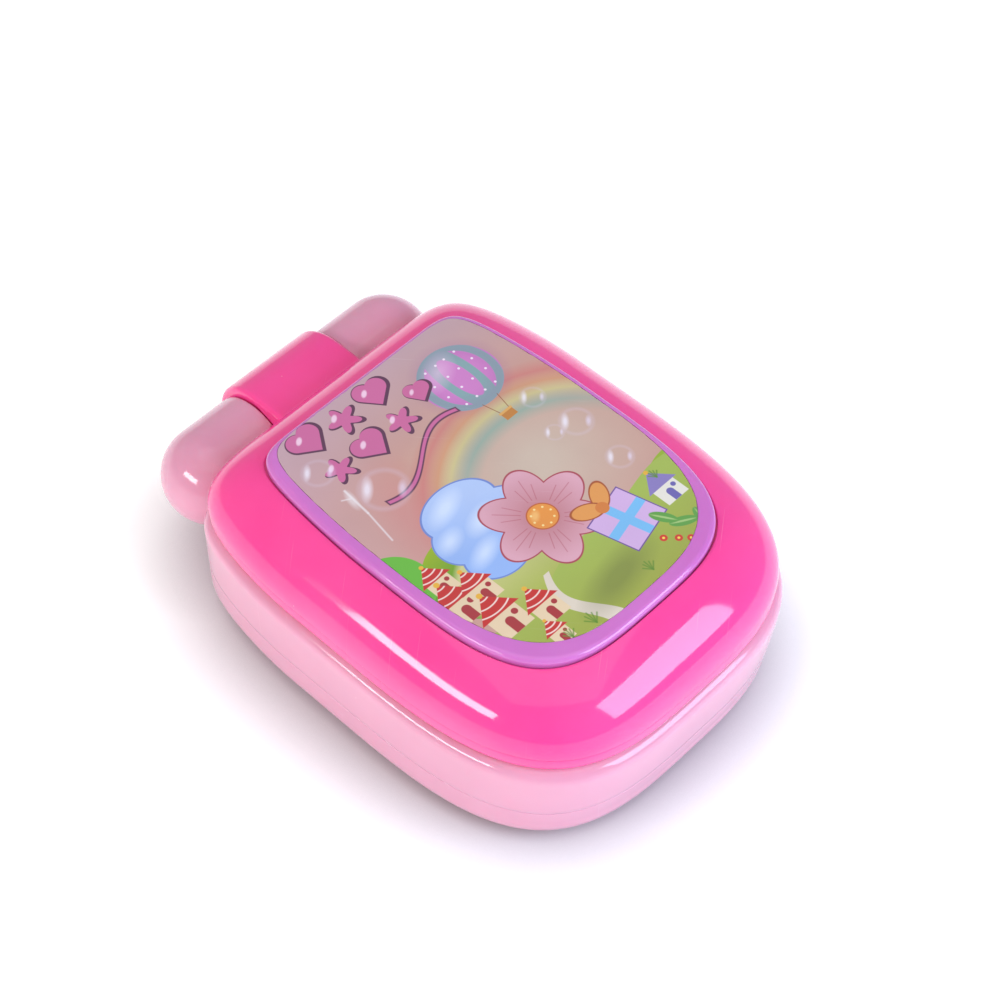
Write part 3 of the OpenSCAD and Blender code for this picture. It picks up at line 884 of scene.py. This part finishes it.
def paint_garden(p):
    """Cottages, leaves, berries and grass along the bottom."""
    p.cottage(23.6, -37.5, 6, 0xE8E2D6, 0x8A7CBA, 0x6C64AC)
    for x, y, turn in ((19.6, -42.2, 150), (23, -44.4, 78), (17.4, -38.6, 120)):
        p.paint(p.oval(x, y, 3.1, 1.25, turn), 0x609E48)
        p.paint(p.oval(x, y, 2.6, 0.25, turn), 0xA2C478)
    for berry in ((15.6, -44.4), (13.4, -42.2), (17.4, -46.2)):
        p.dots([berry], 0.85, 0xCE3C2C)
        p.dots([berry], 0.3, 0xFAD65A)
    for x, y, size in ((-26.2, -20.5, 5.6), (-27.2, -28.6, 7.4), (-21.6, -27.8, 6.2), (-23.2, -37, 7.6),
                       (-15.6, -40.4, 6.4), (-18.6, -45.6, 4.4)):
        p.cottage(x, y, size, 0xE8CEAA, 0xC62E2C, 0xA83238, 0xF4D6CC)
    for x, y, size in ((-11.6, -46.6, 2.8), (-17.4, -45.6, 2.2), (6, -46, 2.4), (24.4, -30.6, 2)):
        p.tuft(x, y, size)


def lid_picture():
    """The printed sheet on the lid, painted from the back to the front."""
    p = Picture(0xCA9A8E)
    paint_sky(p)
    paint_hills(p)
    paint_cloud(p)
    paint_flower(p, 0.5, -20.5)
    paint_gift(p)
    paint_balloon(p, 15.8, 18, 9.4)
    paint_charms(p)
    paint_scrape(p)
    for x, y, r in ((-17, 8, 5.6), (-23.5, 21, 3.6), (22.5, 3, 2.9), (24, -8.3, 3.8), (18.6, -7, 2.2),
                    (23.2, -21.4, 3.1)):
        p.bubble(x, y, r)
    paint_garden(p)
    return p.done()


def screen_picture():
    """The card behind the screen: sky, sun, clouds and a meadow, the right way up when the lid is open."""
    p = Picture(0xB0DCFA, mirror_y=SCREEN_Y)
    p.wash(step(p.y, -26, 10), 0x6CB2EE)
    p.paint(p.disc(13, 4, 4.6), 0xFFF0AA, 2, 0.6)
    p.paint(p.disc(13, 4, 3.6), 0xFFD654)
    for puff in ((-12, 3, 5, 2.6), (-8.4, 5, 3.6, 3), (-5, 3, 4.4, 2.2), (6, -6, 4.6, 1.9),
                 (9, -5, 2.8, 2.2)):
        p.paint(p.oval(*puff), 0xFAFCFF)
    p.paint(p.disc(-12, -40, 21), 0x7AC458)
    p.paint(p.disc(14, -46, 24), 0x5CAE48)
    for flower in ((-15, -23), (-6, -24.5), (3, -25), (12, -24.4), (18, -25)):
        p.dots([flower], 1, 0xF478AA)
        p.dots([flower], 0.4, 0xFFE878)
    p.charm("heart", -2, -13, 8, 0, 0xF06EA0, 0xBE3C6E)
    return p.done(rough=0.35, wear=False)


# ---- materials of the inner parts ----

def circuit_green():
    """Solder mask with copper tracks under it."""
    look = Look()
    x, y = look.axis(0), look.axis(1)

    def tracks(along, seed, low):
        return inside(abs((along * 1.9).math("SINE")) - 0.25, 0.1) * step(
            look.noise(9, detail=0, seed=seed), low, low + 0.02)

    copper = larger(tracks(x, 3, 0.5), tracks(y, 6, 0.52))
    base = look.mix(copper * 0.55, srgb(0x166034), srgb(0x3C8C4A))
    look.set(colour=base, rough=look.noise(3, detail=3) * 0.15 + 0.22, coat=0.3)
    return look.bump(copper, 0.03)


def battery_wrap():
    """Shrink sleeve with a dark band at each end, left without any print."""
    look = Look()
    x = look.axis(0)
    band = step(abs(x), 16, 16.2)
    ends = step(abs(x), 24.2, 24.3)
    base = look.mix(band, srgb(0xD6A046), srgb(0x28282C))
    base = look.mix(ends, base, srgb(0xC4C4C0))
    look.set(colour=base, rough=look.noise(4, detail=3) * 0.14 + 0.2, metal=ends * 0.9 + band * 0.1, coat=0.3)
    return look.bump(look.noise(2.5, detail=2), 0.01)


def wire_sleeves():
    """Red insulation on the right-hand leads, black on the left-hand ones."""
    look = Look()
    base = look.mix(step(look.axis(0), -0.1, 0.1), srgb(0x222224), srgb(0xC42C26))
    look.set(colour=base, rough=look.noise(1.5, detail=3) * 0.2 + 0.32)
    return look.bump(look.noise(0.8), 0.01)


def lamp_resin():
    look = Look()
    core = inside(look.noise(3) - 0.5, 0.6)
    look.set(colour=look.mix(core, srgb(0xFFEEAA), srgb(0xFFFAE1)), rough=look.noise(2) * 0.1 + 0.08)
    look.set(sss=0.6, sss_scale=1.5 * MM, coat=0.5)
    return look.bump(look.noise(1), 0.004)


LOOKS = {
    "hot_pink_plastic": plastic(0xFF3F98),
    "light_pink_plastic": plastic(0xE59DB9, rough=0.1, glow=0.35, seed=2.0),
    "lilac_plastic": plastic(0xD070C4, seed=3.0),
    "printed_sheet": lid_picture(),
    "printed_card": screen_picture(),
    "clear_plastic": clear_plastic(),
    "zinc_steel": metal(0xC4C6CA),
    "nickel": metal(0xD6D4CC, rough=0.2),
    "clear_silicone": matte(0xDEE0E6, rough=0.45, relief=0.01),
    "green_board": circuit_green(),
    "black_epoxy": matte(0x1A1A1C, rough=0.22, size=1.5, relief=0.01),
    "lamp_resin": lamp_resin(),
    "black_paper": matte(0x2C2B2A, rough=0.9, size=0.25, relief=0.04),
    "dark_ferrite": matte(0x424246, rough=0.6, size=0.3),
    "black_plastic": matte(0x26262A, rough=0.5),
    "white_plastic": matte(0xECECEA, rough=0.4, relief=0.008, spread=0.05),
    "battery_wrap": battery_wrap(),
    "nylon": matte(0xE4E2D8, rough=0.4, relief=0.008),
    "wire_sleeve": wire_sleeves(),
    "cream_plastic": plastic(0xFFF0E0, seed=4.0, glow=0.3),
    "green_plastic": plastic(0x70CE7A, seed=5.0),
    "red_plastic": plastic(0xEC4C54, seed=6.0),
    "blue_plastic": plastic(0x74B8F0, seed=7.0),
    "legend_ink": plastic(0x9648A8, seed=8.0),
}
for name, material in LOOKS.items():
    material.name = name
SLOT_OF = {part["node"]: part["material_slot"] for part in frame["record"]["subparts"]}


def shown(piece, node, body):
    """Puts a finished piece in the place of its CAD node."""
    slot = SLOT_OF[node]
    finish_piece(piece, body, LOOKS[slot], (node,))


# ---- lid ----

def dome_ring(t):
    """Points where each outline point has gone t radians up the quarter ellipse of the dome's shoulder."""
    t = np.broadcast_to(t, STEPS)
    return at_height(outline(LID_PLAN, -DOME_IN * (1 - np.cos(t))), PARTING_Z + DOME_H * np.sin(t))


def dome_edge(grow):
    """How far up the shoulder each outline point meets the panel's outline."""
    low, high = np.zeros(STEPS), np.full(STEPS, pi / 2)
    for _ in range(30):
        middle = (low + high) / 2
        out = outside(PANEL_PLAN, grow, dome_ring(middle)[:, :2]) > 0
        low, high = np.where(out, middle, low), np.where(out, high, middle)
    return low


def knuckle():
    """The strap that runs back from the lid and rolls round the pin, with round edges and a flared root."""
    root = 1.6
    root_y = 44.3
    edge = 1.3

    def profile(shrink):
        r = KNUCKLE_R - shrink
        top = HINGE_Z + r
        points = [(root_y - 1.2, top + root)]
        points += [(root_y + back, top + up) for back, up in rounding(root, 0, 90, 8)]
        points += [(y, top) for y in np.linspace(root_y + root + 1.2, HINGE_Y - 1, 5)]
        under = 180 - degrees(asin((PARTING_Z - HINGE_Z) / r))
        points += [(HINGE_Y + r * cos(t), HINGE_Z + r * sin(t)) for t in arc(90, under - 360, 72)]
        return points + [(root_y - 1.2, PARTING_Z)]

    def section(side, shrink, inset):
        points = []
        for y, z in profile(shrink):
            near = min(max(root_y + root - y, 0), root)
            flare = root - sqrt(root ** 2 - near ** 2)
            points.append((side * (KNUCKLE_HALF - inset + flare), y, z))
        return np.array(points)

    left = [section(-1, *lost) for lost in rounding(edge, 90, 0, 7)]
    right = [section(1, *lost) for lost in rounding(edge, 0, 90, 7)]
    bores = [axle(side * 5.5, side * 14, PIN_R + 0.05) for side in (-1, 1)]
    return cut(solid("knuckle", left + right), *bores)


def nearest(rim, flat):
    """For each rim point the nearest place on a flat closed outline, so that rings keep their order."""
    along = np.roll(flat, -1, 0) - flat
    result = np.empty((len(rim), 2))
    for k, point in enumerate(rim[:, :2]):
        share = np.clip(((point - flat) * along).sum(1) / (along ** 2).sum(1), 0, 1)
        foot = flat + share[:, None] * along
        result[k] = foot[np.argmin(((foot - point) ** 2).sum(1))]
    return result


def lid_outer():
    """The dome, hollow below and pocketed for the panel on top, with its knuckle and screw bosses."""
    edge = dome_edge(PANEL_GAP + 0.25)
    inner_h = POCKET_Z - LID_WALL - PARTING_Z
    rings = [ring(LID_PLAN, -LID_WALL - (DOME_IN - 6) * (1 - cos(t)), PARTING_Z + inner_h * sin(t))
             for t in arc(90, 8, 8)]
    rings.append(ring(LID_PLAN, -LID_WALL, PARTING_Z))
    rings += [ring(LID_PLAN, -out, PARTING_Z + up) for up, out in rounding(LID_SEAM_R, 0, 90, 4)]
    rings += [dome_ring(edge * share + radians(1.2) * (1 - share)) for share in np.linspace(0, 1, 34)]
    rim = rings[-1]
    for out, down in ((0.09, 0.05), (0.02, 0.14), (0, 0.3)):
        rings.append(at_height(nearest(rim, outline(PANEL_PLAN, PANEL_GAP + out)), rim[:, 2] - down))
    rings.append(at_height(nearest(rim, outline(PANEL_PLAN, PANEL_GAP)), POCKET_Z))
    shell = solid("lid_shell", rings)
    bosses = [rod(x, y, BOSS_R, LID_FLOOR_Z + 2.05, POCKET_Z - 1.9) for x, y in LID_SCREWS]
    add(shell, knuckle(), joined(bosses))
    cut(shell, *[rod(x, y, PILOT_R, LID_FLOOR_Z + 1, 40.5) for x, y in LID_SCREWS])
    shown(shell, "lid_outer", "lid")


def lid_inner():
    """The tray that closes the dome from below, with the screen's recess, earpiece slots and screw holes."""
    rings = [ring(LID_PLAN, -5, LID_FLOOR_Z), ring(LID_PLAN, -4.2, LIP_Z + 0.3), ring(LID_PLAN, -3.9, LIP_Z)]
    rings += [ring(LID_PLAN, -LIP_IN - out, LIP_Z + up) for out, up in rounding(LIP_R, 90, 0, 10)]
    top = PARTING_Z - 0.1
    rings += [ring(LID_PLAN, -LIP_IN - out, top - down) for out, down in rounding(LID_SEAM_R, 0, 90, 4)]
    rings += [ring(LID_PLAN, -LID_WALL - 0.15, top), ring(LID_PLAN, -LID_WALL - 1.2, top - 0.15)]
    rings.append(ring(LID_PLAN, -LID_WALL - 1.3, LID_FLOOR_Z + 2))
    tray = solid("lid_liner", rings)
    for half, r in ((BARREL_HALF + 0.4, BARREL_R + 0.4), (KNUCKLE_HALF + 0.2, KNUCKLE_R + 0.2)):
        cut(tray, axle(-half, half, r))
    cutters = [bar(0, SCREEN_Y, 48, 42, 3, LID_FLOOR_Z - 1, LID_FLOOR_Z + 1)]
    cutters += [bar(0, y, 14, 1.6, 0.79, LID_FLOOR_Z - 1, 40, 8) for y in (-50, -46.5, -43)]
    for x, y in LID_SCREWS:
        cutters += [rod(x, y, 2.9, 20, LID_FLOOR_Z + 1), rod(x, y, 1.5, 20, 40)]
    cut(tray, *cutters)
    shown(tray, "lid_inner", "lid")


def lid_panel():
    """The lilac panel: a rounded rim round a recess for the printed sheet."""
    rings = [ring(PANEL_PLAN, 0, POCKET_Z)]
    rings += [ring(PANEL_PLAN, -out, PANEL_TOP - down) for out, down in rounding(PANEL_RIM, 0, 90, 12)]
    recess = placed(outline(STICKER_PLAN, 0.12), STICKER_SHIFT, 0)
    rings += [at_height(recess, PANEL_TOP), at_height(recess, PANEL_TOP - STICKER_DEEP)]
    shown(solid("lid_frame", rings), "lid_panel", "lid")


def lid_sticker():
    """The printed sheet. Its cut edge wanders by less than a tenth of a millimetre."""
    wander = np.zeros(STEPS)
    phase = np.arange(STEPS) / STEPS * 2 * pi
    for waves, size in ((41, 0.035), (67, 0.03), (97, 0.02)):
        wander += size * np.sin(waves * phase + waves)
    flat = placed(outline(STICKER_PLAN, 0.02), STICKER_SHIFT, 0)
    arm = flat - flat.mean(0)
    arm = arm / np.linalg.norm(arm, axis=1)[:, None]
    rings = [at_height(flat + arm * (wander - inset)[:, None], PANEL_TOP + up)
             for inset, up in ((0, -STICKER_DEEP), (0, -0.04), (0.04, 0.01), (0.6, 0.02), (6, 0.03))]
    shown(solid("lid_print", rings), "lid_sticker", "lid")


def screen():
    """The screen's surround and the clear window behind it."""
    hole, shape, window = [placed(round_rect(w, d, r), 0, SCREEN_Y)
                           for w, d, r in ((44, 38, 3), (54, 48, 5), (47.6, 41.6, 2.8))]
    bezel = plate("screen_surround", shape, [hole], LID_FLOOR_Z - 0.9, LID_FLOOR_Z, 0.35)
    shown(bezel, "screen_bezel", "lid")
    shown(plate("screen_window", window, [], LID_FLOOR_Z, LID_FLOOR_Z + 0.6, 0.15), "screen_lens", "lid")


# ---- base ----

def wall(grow, z, height=None):
    """A ring of the base's outer wall, drawn at one height and shaped as at another.

    Below the shoulder the front leans in."""
    lean = LEAN * (max(0, SHOULDER_Z - z) / SHOULDER_Z) ** 1.3
    return ring(LID_PLAN, (BULGE + grow, BULGE + grow - lean, BULGE + grow), z if height is None else height)


def barrel(side):
    """One hinge barrel: flat and rounded towards the knuckle, half a ball outside."""
    end = BARREL_HALF - BARREL_R
    points = [(BARREL_FACE, 0.5)]
    points += [(BARREL_FACE + along, BARREL_R - lost) for lost, along in rounding(0.5, 90, 0, 5)]
    points += [(x, BARREL_R) for x in np.linspace(BARREL_FACE + 2, end, 5)]
    points += [(end + BARREL_R * sin(t), BARREL_R * cos(t)) for t in arc(4, 88, 26)]
    return turned([(side * x, r) for x, r in points], "barrel")


def base_top():
    """The upper base moulding: walls, deck, barrels, the knuckle's trough and the screw bosses."""
    seam = BASE_PARTING_Z + BASE_SEAM_GAP
    rings = [wall(-BASE_WALL, DECK_BOTTOM), wall(-BASE_WALL, seam)]
    rings += [wall(-out, seam + up) for up, out in rounding(BASE_SEAM_R, 0, 90, 4)]
    rings += [wall(0, z) for z in np.linspace(14.5, SHOULDER_Z, 8)]
    rings += [ring(LID_PLAN, BULGE - SHOULDER_R * (1 - cos(t)), SHOULDER_Z + SHOULDER_R * sin(t))
              for t in arc(8, 90, 11)]
    rings += [ring(LID_PLAN, out - RIM_IN, BASE_H - down) for down, out in rounding(0.3, 0, 90, 4)]
    rings.append(ring(LID_PLAN, -RIM_IN - 0.4, DECK_TOP))
    shell = solid("base_shell", rings)
    trough = axle(-BARREL_FACE - 2, BARREL_FACE + 2, TROUGH_R + 1.7)
    combine(trough, bar(0, 40.15, 60, 8.3, 0.5, BASE_PARTING_Z + 0.1, BASE_H - 0.05, 4), "INTERSECT")
    bosses = [rod(x, y, BOSS_R, 8.05, DECK_BOTTOM + 0.5) for x, y in BASE_SCREWS]
    add(shell, barrel(-1), barrel(1), trough, joined(bosses))
    cut(shell, *[rod(x, y, PILOT_R, 7, DECK_BOTTOM - 1.5) for x, y in BASE_SCREWS])
    cut(shell, axle(-BARREL_FACE, BARREL_FACE, TROUGH_R))
    cut(shell, *[axle(side * (BARREL_FACE - 1), side * 22, PIN_R) for side in (-1, 1)])
    cut(shell, bar(0, -6, 61, 74, 4, DECK_BOTTOM - 1, DECK_TOP + 1),
        rod(0, LAMP_Y, 2.2, DECK_BOTTOM - 1, DECK_TOP + 1))
    shown(shell, "base_top", "base")


def base_bottom():
    """The lower base moulding: a tray with the battery box, its door's seat and the holes in its floor."""
    seam = BASE_PARTING_Z - BASE_SEAM_GAP
    inner_r = BOTTOM_R - FLOOR_T
    rings = [wall(-inset, BOTTOM_R, z) for inset, z in rounding(BOTTOM_R, 90, 0, 14)]
    rings += [wall(0, z) for z in np.linspace(9, BASE_PARTING_Z - 0.3, 5)]
    rings += [wall(-inset, seam - down) for inset, down in rounding(BASE_SEAM_R, 15, 90, 4)]
    rings += [wall(-BASE_WALL, seam), wall(-BASE_WALL, BOTTOM_R)]
    rings += [wall(-BASE_WALL - inner_r * (1 - cos(t)), BOTTOM_R, BOTTOM_R - inner_r * sin(t))
              for t in arc(30, 90, 3)]
    shell = solid("base_tray", rings)
    add(shell, bar(0, BATTERY_Y, 64, 32.6, 1, 1, 18.3), rod(DOOR_SCREW_X, BATTERY_Y, 2.6, 1, 8))
    cut(shell, bar(0, BATTERY_Y, 61, 29.6, 0.9, -1, 17.3))
    cut(shell, axle(-BARREL_FACE, BARREL_FACE, TROUGH_R))
    cut(shell, axle(-BARREL_HALF, BARREL_HALF, BARREL_R + 0.05))
    cut(shell, bar(0, BATTERY_Y, 74.1, 35.5, 3.25, -1, 1.95), bar(*SWITCH, 8, 12, 2, -1, 1.2))
    cutters = [rod(DOOR_SCREW_X, BATTERY_Y, 1.15, 0, 6.5), bar(*SWITCH, 4.2, 7.2, 1, -1, FLOOR_T + 1)]
    for x, y in BASE_SCREWS:
        cutters += [rod(x, y, 3, -1, 4), rod(x, y, 1.55, -1, 9)]
    speaker = [(0, SPEAKER_Y)]
    for k in (1, 2):
        reach = SPEAKER_PITCH * k
        speaker += [(reach * cos(t), SPEAKER_Y + reach * sin(t)) for t in full_turn(6 * k)]
    cutters += [rod(x, y, 1.1, -1, FLOOR_T + 1, 24) for x, y in speaker]
    cut(shell, *cutters)
    shown(shell, "base_bottom", "base")


def battery_door():
    hole = placed(circle(1.35, 32), DOOR_SCREW_X, BATTERY_Y)
    door = plate("battery_cover", placed(round_rect(73.6, 35, 3), 0, BATTERY_Y), [hole], 0, 1.9, 0.25)
    grips = [bar(-22, y + 0.55, 12, 1.1, 0.54, -1, 0.5, 8) for y in np.arange(2, 15.1, 2.6)]
    cut(door, rod(DOOR_SCREW_X, BATTERY_Y, 2.4, -1, 1.1), *grips)
    shown(door, "battery_door", "battery_door")


def key_place(column, row):
    return column * KEY_DX, KEY_ROW_Y - row * KEY_DY


def keypad_bezel():
    """The lilac surround, with a hole for each key and the lamp and three for the microphone."""
    hole = round_rect(KEY_W + 0.7, KEY_D + 0.7, KEY_R + 0.35)
    holes = [placed(hole, *key_place(column, row)) for column, row, _ in KEYS.values()]
    holes.append(placed(circle(2.7), 0, LAMP_Y))
    holes += [placed(circle(0.8, 24), x, -51.5) for x in (-4.5, 0, 4.5)]
    bezel = plate("keypad_surround", outline(LID_PLAN, -4.6), holes, DECK_TOP, DECK_TOP + 1.2, 0.3)
    cut(bezel, axle(-BARREL_FACE - 2.3, BARREL_FACE + 2.3, KNUCKLE_R + 2.4))
    shown(bezel, "keypad_bezel", "base")


def key(name, column, row, legend):
    """A key cap with a flange that keeps it in and a crowned top, and its raised sign."""
    x, y = key_place(column, row)
    edge, crown, nick = 0.7, 0.35, 0.15
    flange = ((KEY_FLANGE - nick, KEY_FLANGE_BOTTOM), (KEY_FLANGE, KEY_FLANGE_BOTTOM + nick),
              (KEY_FLANGE, KEY_FLANGE_TOP - nick), (KEY_FLANGE - nick, KEY_FLANGE_TOP),
              (0.02, KEY_FLANGE_TOP), (0, KEY_FLANGE_TOP + 0.1))
    levels = [(KEY_W + 2 * grow, KEY_D + 2 * grow, KEY_R + grow, z) for grow, z in flange]
    levels += [(KEY_W - 2 * inset, KEY_D - 2 * inset, KEY_R - inset, KEY_TOP - crown - down)
               for inset, down in rounding(edge, 0, 90, 8)]
    levels += [((KEY_W - 2 * edge) * left, (KEY_D - 2 * edge) * left, (KEY_R - edge) * left,
                KEY_TOP - crown * left ** 2) for left in np.linspace(0.85, 0.02, 7)]
    cap = solid(name + "_cap", [at_height(placed(round_rect(w, d, r), x, y), z) for w, d, r, z in levels])
    add(cap, rod(x, y, 3, KEY_STEM_BOTTOM, KEY_FLANGE_BOTTOM + 0.2))
    shown(cap, name, name)
    if legend:
        key_legend(name, legend, x, y)
    else:
        key_symbol(name, x, y)


def key_legend(name, text, x, y):
    """A raised digit or sign on a key."""
    curve = bpy.data.curves.new("legend", "FONT")
    curve.body = text
    curve.size = 7.4 * MM if text != "*" else 10 * MM
    curve.align_x = "CENTER"
    curve.align_y = "CENTER"
    curve.extrude = 0.16 * MM
    curve.bevel_depth = 0.05 * MM
    curve.bevel_resolution = 1
    piece = from_curve(name + "_legend", curve)
    vertices = piece.data.vertices
    middle = (min(v.co.y for v in vertices) + max(v.co.y for v in vertices)) / 2
    for vertex in vertices:
        vertex.co += Vector((x * MM, y * MM - middle, (KEY_TOP - 0.08) * MM))
    finish_piece(piece, name, LOOKS["legend_ink"])


def key_symbol(name, x, y):
    """A raised sign on a key with no digit: a handset for calls, a note for music."""
    level = (KEY_TOP - 0.3, KEY_TOP + 0.1)
    if name == "key_music":
        head = circle(1.1, 32) * (1.25, 0.9)
        heads = [prism(placed(head, x + dx, y + dy), *level) for dx, dy in ((-1.6, -1.8), (1.9, -1.3))]
        stems = [bar(x + dx, y + dy, 0.5, 4.6, 0.2, *level, 4) for dx, dy in ((-0.4, 0.4), (3.1, 0.9))]
        sign = add(bar(x + 1.35, y + 2.9, 4, 1.1, 0.3, *level, 4), *stems, *heads)
    else:
        bow = 1 if name == "key_call" else -1
        outer = [(3.6 * cos(t), bow * (3.0 * sin(t) - 1.2)) for t in arc(10, 170, 24)]
        inner = [(2.5 * cos(t), bow * (1.9 * sin(t) - 1.2)) for t in arc(170, 10, 24)]
        sign = prism(placed(np.array(outer + inner), x, y), *level)
        add(sign, *[bar(x + side * 2.9, y - bow * 1.2, 2.2, 2.0, 0.6, *level, 6) for side in (-1, 1)])
    sign.name = name + "_sign"
    soften(sign, 0.06)
    finish_piece(sign, name, LOOKS["white_plastic"])


def key_mat():
    """A thin silicone sheet and, under each key, a dome."""
    shape = placed(round_rect(56.8, 71.9, 2), 0, -5.55)
    shown(plate("mat_sheet", shape, [], MAT_TOP - 0.75, MAT_TOP, 0.15), "key_mat", "base")
    foot = MAT_TOP - 0.1
    levels = ((4.5, foot), (4.3, MAT_TOP + 0.1), (3.5, DOME_TOP - 0.35), (3.3, DOME_TOP - 0.08),
              (3, DOME_TOP))
    for name, (column, row, _) in KEYS.items():
        x, y = key_place(column, row)
        dome = solid(name + "_dome", [at_height(placed(circle(r), x, y), z) for r, z in levels])
        finish_piece(dome, "base", LOOKS["clear_silicone"])
        name + "_press"
        x * MM
        y * MM
        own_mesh(dome)


def battery_springs():
    """Conical coils on square back plates, one at each end of the battery box."""
    pieces = []
    turns = 4
    for side in (-1, 1):
        x, y, z = side * 30.45, BATTERY_Y + side * 7.5, BATTERY_Z
        back = plate("back", round_rect(11, 11, 1), [], 0, 0.4, 0.1)
        for vertex in back.data.vertices:
            u, v, w = vertex.co
            vertex.co = (x * MM - side * w, y * MM + u, z * MM + v)
        coil = []
        for share in np.linspace(0, 1, turns * 28):
            t = share * turns * 2 * pi
            r = 4.3 - 1.6 * share
            coil.append((x - side * (0.6 + 4.1 * share), y + r * cos(t), z + r * sin(t)))
        pieces += [outward(back), wire("coil", coil, 0.3)]
    shown(joined(pieces, "contact_springs"), "battery_springs", "base")


def cad_looks():
    """Gives every CAD node its material."""
    for name, node in frame["nodes"].items():
        node.data.materials.clear()
        node.data.materials.append(LOOKS[SLOT_OF[name]])


# ---- studio ----

def studio():
    """A flat white floor, a pale sky and three soft boxes. The floor's colour holds a soft painted contact
    shadow round the phone, and the floor glows as painted light that keeps it white away from the phone.
    """
    world = bpy.data.worlds.new("studio")
    world.use_nodes = True
    sky = world.node_tree.nodes["Background"].inputs
    sky["Color"].default_value = (1, 1, 1, 1)
    sky["Strength"].default_value = 0.5
    bpy.context.scene.world = world
    bpy.context.scene.view_settings.view_transform = "Standard"

    mesh = bpy.data.meshes.new("floor")
    reach = 3.0
    corners = [(-reach, -reach, 0), (reach, -reach, 0), (reach, reach, 0), (-reach, reach, 0)]
    mesh.from_pydata(corners, [], [(0, 1, 2, 3)])
    floor = linked("floor", mesh)
    paper = Look()
    paper.material.name = "studio_floor"
    # Painted contact shadow: the ambient-occlusion factor darkens the floor's colour within about 22 mm of
    # the phone.
    shade = paper.tree.nodes.new("ShaderNodeAmbientOcclusion")
    shade.inputs["Distance"].default_value = 0.022
    open_share = Value(paper.tree, shade.outputs["AO"])
    paper.set(colour=paper.mix(open_share, (0.3, 0.28, 0.3), (0.93, 0.93, 0.93)), rough=0.35)
    # Painted light: the floor glows most where nothing is near, so it stays white there while the painted
    # shadow stays dark next to the phone.
    paper.set(glow=(1, 1, 1, 1), glow_strength=open_share * open_share * 0.38)
    mesh.materials.append(paper.material)

    soft_box("left_box", -100, 26, 0.9, size=(0.54, 0.16), power=3.1, colour=(1, 0.98, 0.97))
    soft_box("right_box", 18, 30, 0.9, size=(0.6, 0.5), power=5.2, colour=(0.78, 0.96, 1.25))
    soft_box("top_box", -40, 84, 1.2, size=(1.2, 1.2), power=2.5, colour=(1, 1, 1))


def facing(away):
    """The rotation of a lamp or camera that looks back along a direction."""
    return away.to_track_quat("Z", "Y").to_euler()


def soft_box(name, azimuth, elevation, distance, size, power, colour):
    """A rectangular light that faces the phone. Azimuth 0 is in front of it and 90 is to its right."""
    a, e = radians(azimuth), radians(elevation)
    light = bpy.data.lights.new(name, "AREA")
    light.shape = "RECTANGLE"
    light.size, light.size_y = size
    light.energy = power
    light.color = colour
    lamp = linked(name, light)
    away = Vector((sin(a) * cos(e), -cos(a) * cos(e), sin(e)))
    lamp.location = away * distance + Vector((0, 0, 0.03))
    lamp.rotation_euler = facing(away)


def camera():
    """The camera stands to the front left of the phone, high up."""
    data = bpy.data.cameras.new("camera")
    data.lens = 93.6
    data.sensor_width = 36
    data.clip_start = 0.01
    view = linked("camera", data)
    eye = Vector((-0.2433, -0.2411, 0.4671))
    target = Vector((0.00587, -0.00326, 0.032))
    view.location = eye
    view.rotation_euler = facing(eye - target)
    bpy.context.scene.camera = view


for build in (lid_outer, lid_inner, lid_panel, lid_sticker, screen, base_top, base_bottom, battery_door,
              keypad_bezel):
    build()
for key_name, (column, row, legend) in KEYS.items():
    key(key_name, column, row, legend)
for build in (key_mat, battery_springs, cad_looks, studio, camera):
    build()
